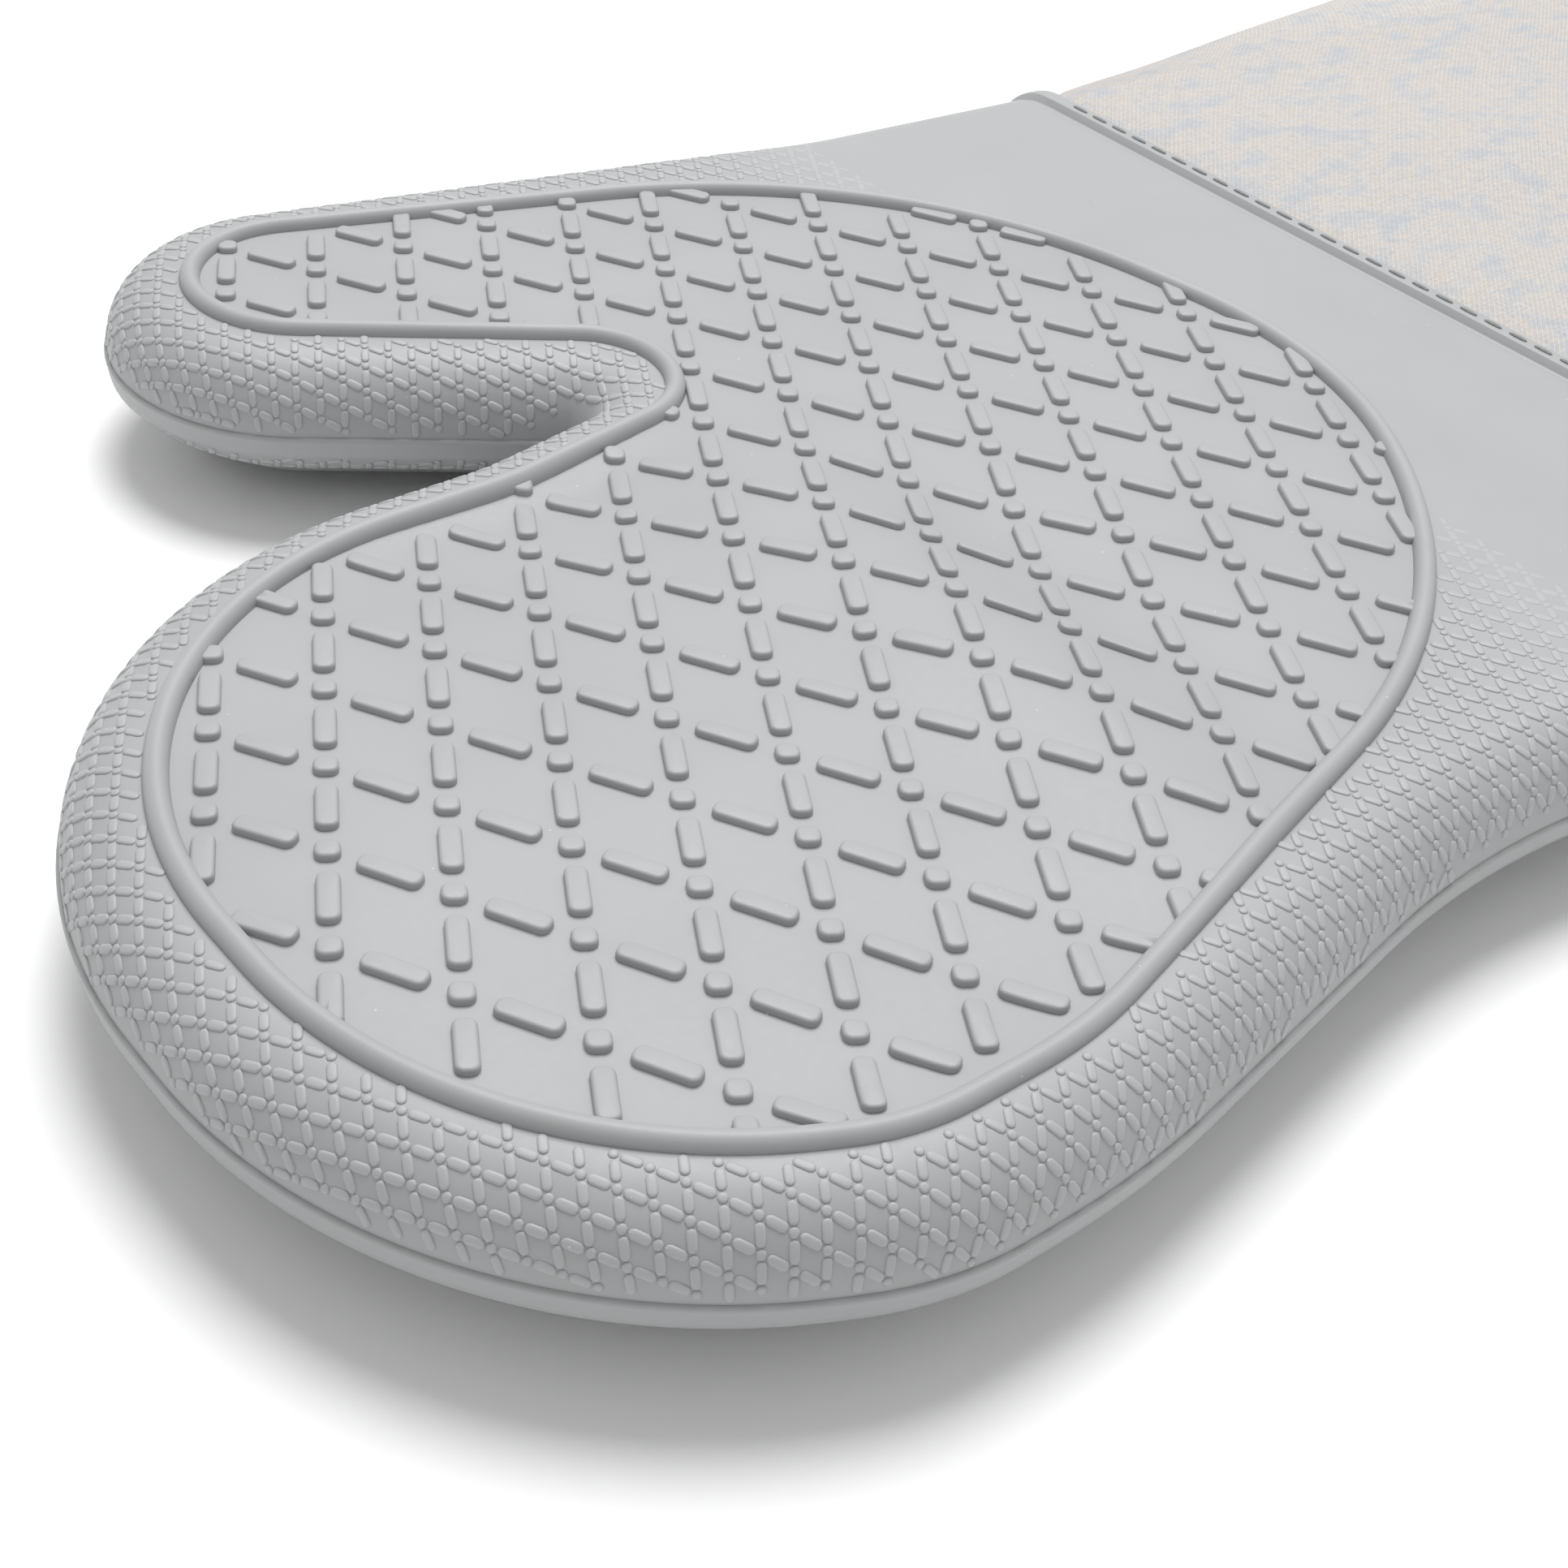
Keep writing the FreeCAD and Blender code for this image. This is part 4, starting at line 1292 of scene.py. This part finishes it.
def add_stitches():
    """Thread of the hem binding, outside and inside, and thread on the silicone lip."""
    rows = []
    y = 8.2 - CUFF_LENGTH
    ring, outward = ring_frame(y)
    out = np.column_stack([outward[:, 0], np.zeros(len(ring)), outward[:, 1]])
    for over, sign in ((0.78, 1), (-4.83, -1)):
        places = places_round(on_cuff(y, over), out * sign, STITCH_PITCH)
        rows.append(capsules(*places, STITCH_LENGTH, HEM_THREAD_WIDTH, HEM_THREAD_HEIGHT))
    piece = add_piece("hem_stitch_thread", joined(rows), DARK_THREAD, "cuff")
    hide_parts("hem_stitches")

    stations = np.linspace(-WRIST_ROW_LENGTH / 2, WRIST_ROW_LENGTH / 2, 93)
    rows = []
    for facing in (FRONT, BACK):
        line = np.column_stack([stations, np.full(len(stations), LIP_WIDTH / 2)])
        foot, normal = surface(line, facing)
        foot += normal * (LIP_HEIGHT + 0.05)
        count = int(WRIST_ROW_LENGTH / STITCH_PITCH)
        x = (np.arange(count) - (count - 1) / 2) * STITCH_PITCH
        middles = np.column_stack([x, np.full(count, LIP_WIDTH / 2), np.full(count, foot[:, 2].mean())])
        along = np.tile([1.0, 0.0, 0.0], (count, 1))
        out = np.tile([0.0, 0.0, float(facing)], (count, 1))
        rows.append(capsules(middles, along, out, STITCH_LENGTH, WRIST_THREAD_WIDTH, WRIST_THREAD_HEIGHT))
    piece = add_piece("wrist_stitch_thread", joined(rows), THREAD, "palm")
    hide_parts("wrist_stitches")


# ------------------------------------------------------------------ hanging loop

LOOP_LOW, LOOP_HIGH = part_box("hanging_loop")
LOOP_PIVOT, _ = joint_place("loop_swing")
TAPE_THICKNESS = 1.4
TAPE_WIDTH = 10.0


def tape_mesh(line, outward, width, thickness, closed):
    """Flat tape along a line in the y-z plane, with rounded long edges."""
    half = width / 2
    edge = thickness / 2
    angle = np.linspace(-math.pi / 2, math.pi / 2, 7)
    right = [(half - edge + edge * math.cos(turn), edge * math.sin(turn)) for turn in angle]
    top = [(x, edge) for x in np.linspace(half - edge, edge - half, 9)[1:-1]]
    left = [(-x, -z) for x, z in right]
    bottom = [(-x, -z) for x, z in top]
    profile = np.array(right + top + left + bottom)
    grid = np.empty((len(line), len(profile), 3))
    grid[:, :, 0] = LOOP_PIVOT[0] + profile[None, :, 0]
    grid[:, :, 1] = line[:, :1] + outward[:, :1] * profile[None, :, 1]
    grid[:, :, 2] = line[:, 1:] + outward[:, 1:] * profile[None, :, 1]
    quads = grid_quads(len(line), len(profile), close_rows=closed, close_columns=True)
    tris = []
    if not closed:
        last = (len(line) - 1) * len(profile)
        for index in range(1, len(profile) - 1):
            tris.append((0, index, index + 1))
            tris.append((last, last + index + 1, last + index))
    length_at = lengths_along(line)
    around = lengths_along(profile)
    uv = np.column_stack([np.tile(around, len(line)), np.repeat(length_at, len(profile))])
    return outward_facing(Mesh(grid.reshape(-1, 3), quads, tris)), uv


def add_loop():
    """Hanging loop, the strap that joins it to the inside of the hem, and its bar of thread."""
    end_y = LOOP_LOW.y / MM - SEAM_Y
    half = (LOOP_HIGH.z - LOOP_LOW.z) / 2 / MM
    root_y = LOOP_PIVOT[1] + TAPE_THICKNESS
    level = LOOP_PIVOT[2]
    bow = half - TAPE_THICKNESS
    teardrop = Outline([
        (end_y, level + half, bow), (root_y, level + TAPE_THICKNESS, TAPE_THICKNESS - 0.001),
        (root_y, level - TAPE_THICKNESS, TAPE_THICKNESS - 0.001), (end_y, level - half, bow)])
    rows = teardrop.walk(0.8)
    line = rows[:, :2] + rows[:, 2:4] * TAPE_THICKNESS / 2
    kept = np.ones(len(line), bool)
    kept[1:] = np.linalg.norm(np.diff(line, axis=0), axis=1) > 0.05
    mesh, uv = tape_mesh(line[kept], rows[kept, 2:4], TAPE_WIDTH, TAPE_THICKNESS - 0.02, True)
    piece = add_piece("hanging_loop_tape", mesh, BINDING, "loop", None, uv)
    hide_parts("hanging_loop")

    ring, _ = ring_frame(-CUFF_LENGTH + 6)
    top = ring[:len(ring) // 2]
    ceiling = np.interp(LOOP_PIVOT[0], top[::-1, 0], top[::-1, 1]) - CUFF_WALL - 2 * BINDING_THICKNESS - 0.3
    start = np.array([LOOP_PIVOT[1], level])
    end = np.array([-CUFF_LENGTH + 9.0, ceiling])
    share = np.linspace(0, 1, 24)
    line = np.column_stack([
        start[0] + (end[0] - start[0]) * share, start[1] + (end[1] - start[1]) * ease(share, -0.1, 0.75)])
    line[:, 1] += start[1] - line[0, 1]
    line[:, 1] = np.minimum(line[:, 1], ceiling)
    tangent = np.gradient(line, axis=0)
    tangent /= np.linalg.norm(tangent, axis=1)[:, None]
    mesh, uv = tape_mesh(line, np.column_stack([-tangent[:, 1], tangent[:, 0]]), TAPE_WIDTH - 0.4, 1.1, False)
    piece = add_piece("loop_strap_tape", mesh, BINDING, "cuff", None, uv)

    count = 17
    y = -CUFF_LENGTH + 3.2
    ring, outward = ring_frame(y)
    top = ring[:len(ring) // 2][::-1]
    out = outward[:len(ring) // 2][::-1]
    x = LOOP_PIVOT[0] + np.linspace(-4.6, 4.6, count)
    level = np.interp(x, top[:, 0], top[:, 1])
    lean_x, lean_z = [np.interp(x, top[:, 0], out[:, axis]) for axis in (0, 1)]
    lean = np.column_stack([lean_x, np.zeros(count), lean_z])
    middles = np.column_stack([x, np.full(count, y), level]) + lean * (BINDING_THICKNESS + 0.25)
    along = np.column_stack([0.06 * (-1.0) ** np.arange(count), np.ones(count), np.zeros(count)])
    along /= np.linalg.norm(along, axis=1)[:, None]
    mesh = capsules(middles, along, lean, 4.0, 0.72, 0.7)
    piece = add_piece("loop_bar_tack", mesh, DARK_THREAD, "cuff")
    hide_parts("loop_tack")


add_glove_layers()
add_split("bead_front", bead_mesh(FRONT), SILICONE)
add_split("bead_back", bead_mesh(BACK), SILICONE)
add_split("parting_ridge", outward_facing(ridge_mesh()), SILICONE)
add_pattern("grip_pads", grip_pads, SILICONE)
add_pattern("edge_pattern", fine_pattern, PAINTED_LIGHT_PATTERN_SILICONE)
add_cuff()
add_binding()
add_stitches()
add_loop()


# ------------------------------------------------------------------ floor, light and camera

def floor_material():
    material, tree, shader = new_material("studio_floor")
    place = add_node(tree, "ShaderNodeTexCoord").outputs["Object"]
    tone = noise(tree, place, 3.0)
    tree.links.new(colour_ramp(tree, tone, [(0.3, grey(250)), (0.7, grey(252))]), shader.inputs["Base Color"])
    shader.inputs["Roughness"].default_value = 0.9
    shader.inputs["Specular IOR Level"].default_value = 0.1
    return material


FLOOR_HALF_SIZE = 4.0


def add_floor():
    size = FLOOR_HALF_SIZE
    data = bpy.data.meshes.new("floor")
    corners = [(-size, -size, 0), (size, -size, 0), (size, size, 0), (-size, size, 0)]
    data.from_pydata(corners, [], [(0, 1, 2, 3)])
    data.materials.append(floor_material())
    floor = bpy.data.objects.new("floor", data)
    bpy.context.scene.collection.objects.link(floor)


def add_area_light(name, place, target, size, power):
    data = bpy.data.lights.new(name, "AREA")
    data.shape = "DISK"
    data.size = size
    data.energy = power
    light = bpy.data.objects.new(name, data)
    bpy.context.scene.collection.objects.link(light)
    light.location = place
    light.rotation_euler = (Vector(target) - Vector(place)).to_track_quat("-Z", "Y").to_euler()


# Pale light from all round, and one large soft light above and behind the mitt
SKY_STRENGTH = 0.56
LIGHT_PLACE = (0.36, -0.28, 1.25)
LIGHT_TARGET = (0.0, 0.05, 0.0)
LIGHT_SIZE = 0.9
LIGHT_POWER = 18.5


def add_light():
    bpy.context.scene.view_settings.view_transform = "Standard"
    world = bpy.data.worlds.new("studio")
    bpy.context.scene.world = world
    world.use_nodes = True
    sky = world.node_tree.nodes["Background"]
    sky.inputs["Color"].default_value = (1.0, 1.0, 1.0, 1.0)
    sky.inputs["Strength"].default_value = SKY_STRENGTH
    add_area_light("back_light", LIGHT_PLACE, LIGHT_TARGET, LIGHT_SIZE, LIGHT_POWER)


# Camera: where it stands, its turn from +Y towards +X, how far it looks down and its roll
CAMERA_PLACE = (-0.1753, 0.23685, 0.1670)
CAMERA_HEADING = 132.2
CAMERA_DOWN = 38.0
CAMERA_ROLL = -5.5
CAMERA_LENS = 57.5


def add_camera():
    data = bpy.data.cameras.new("camera")
    data.lens = CAMERA_LENS
    data.sensor_width = 36.0
    data.clip_start = 0.01
    camera = bpy.data.objects.new("camera", data)
    bpy.context.scene.collection.objects.link(camera)
    heading = math.radians(CAMERA_HEADING)
    down = math.radians(CAMERA_DOWN)
    forward = Vector((
        math.sin(heading) * math.cos(down), math.cos(heading) * math.cos(down), -math.sin(down)))
    right = forward.cross(Vector((0, 0, 1))).normalized()
    up = right.cross(forward)
    roll = math.radians(CAMERA_ROLL)
    tilted_up = up * math.cos(roll) + right * math.sin(roll)
    tilted_right = forward.cross(tilted_up)
    turn = Matrix((tilted_right, tilted_up, -forward)).transposed()
    camera.matrix_world = Matrix.Translation(Vector(CAMERA_PLACE)) @ turn.to_4x4()
    bpy.context.scene.camera = camera


add_floor()
add_light()
add_camera()
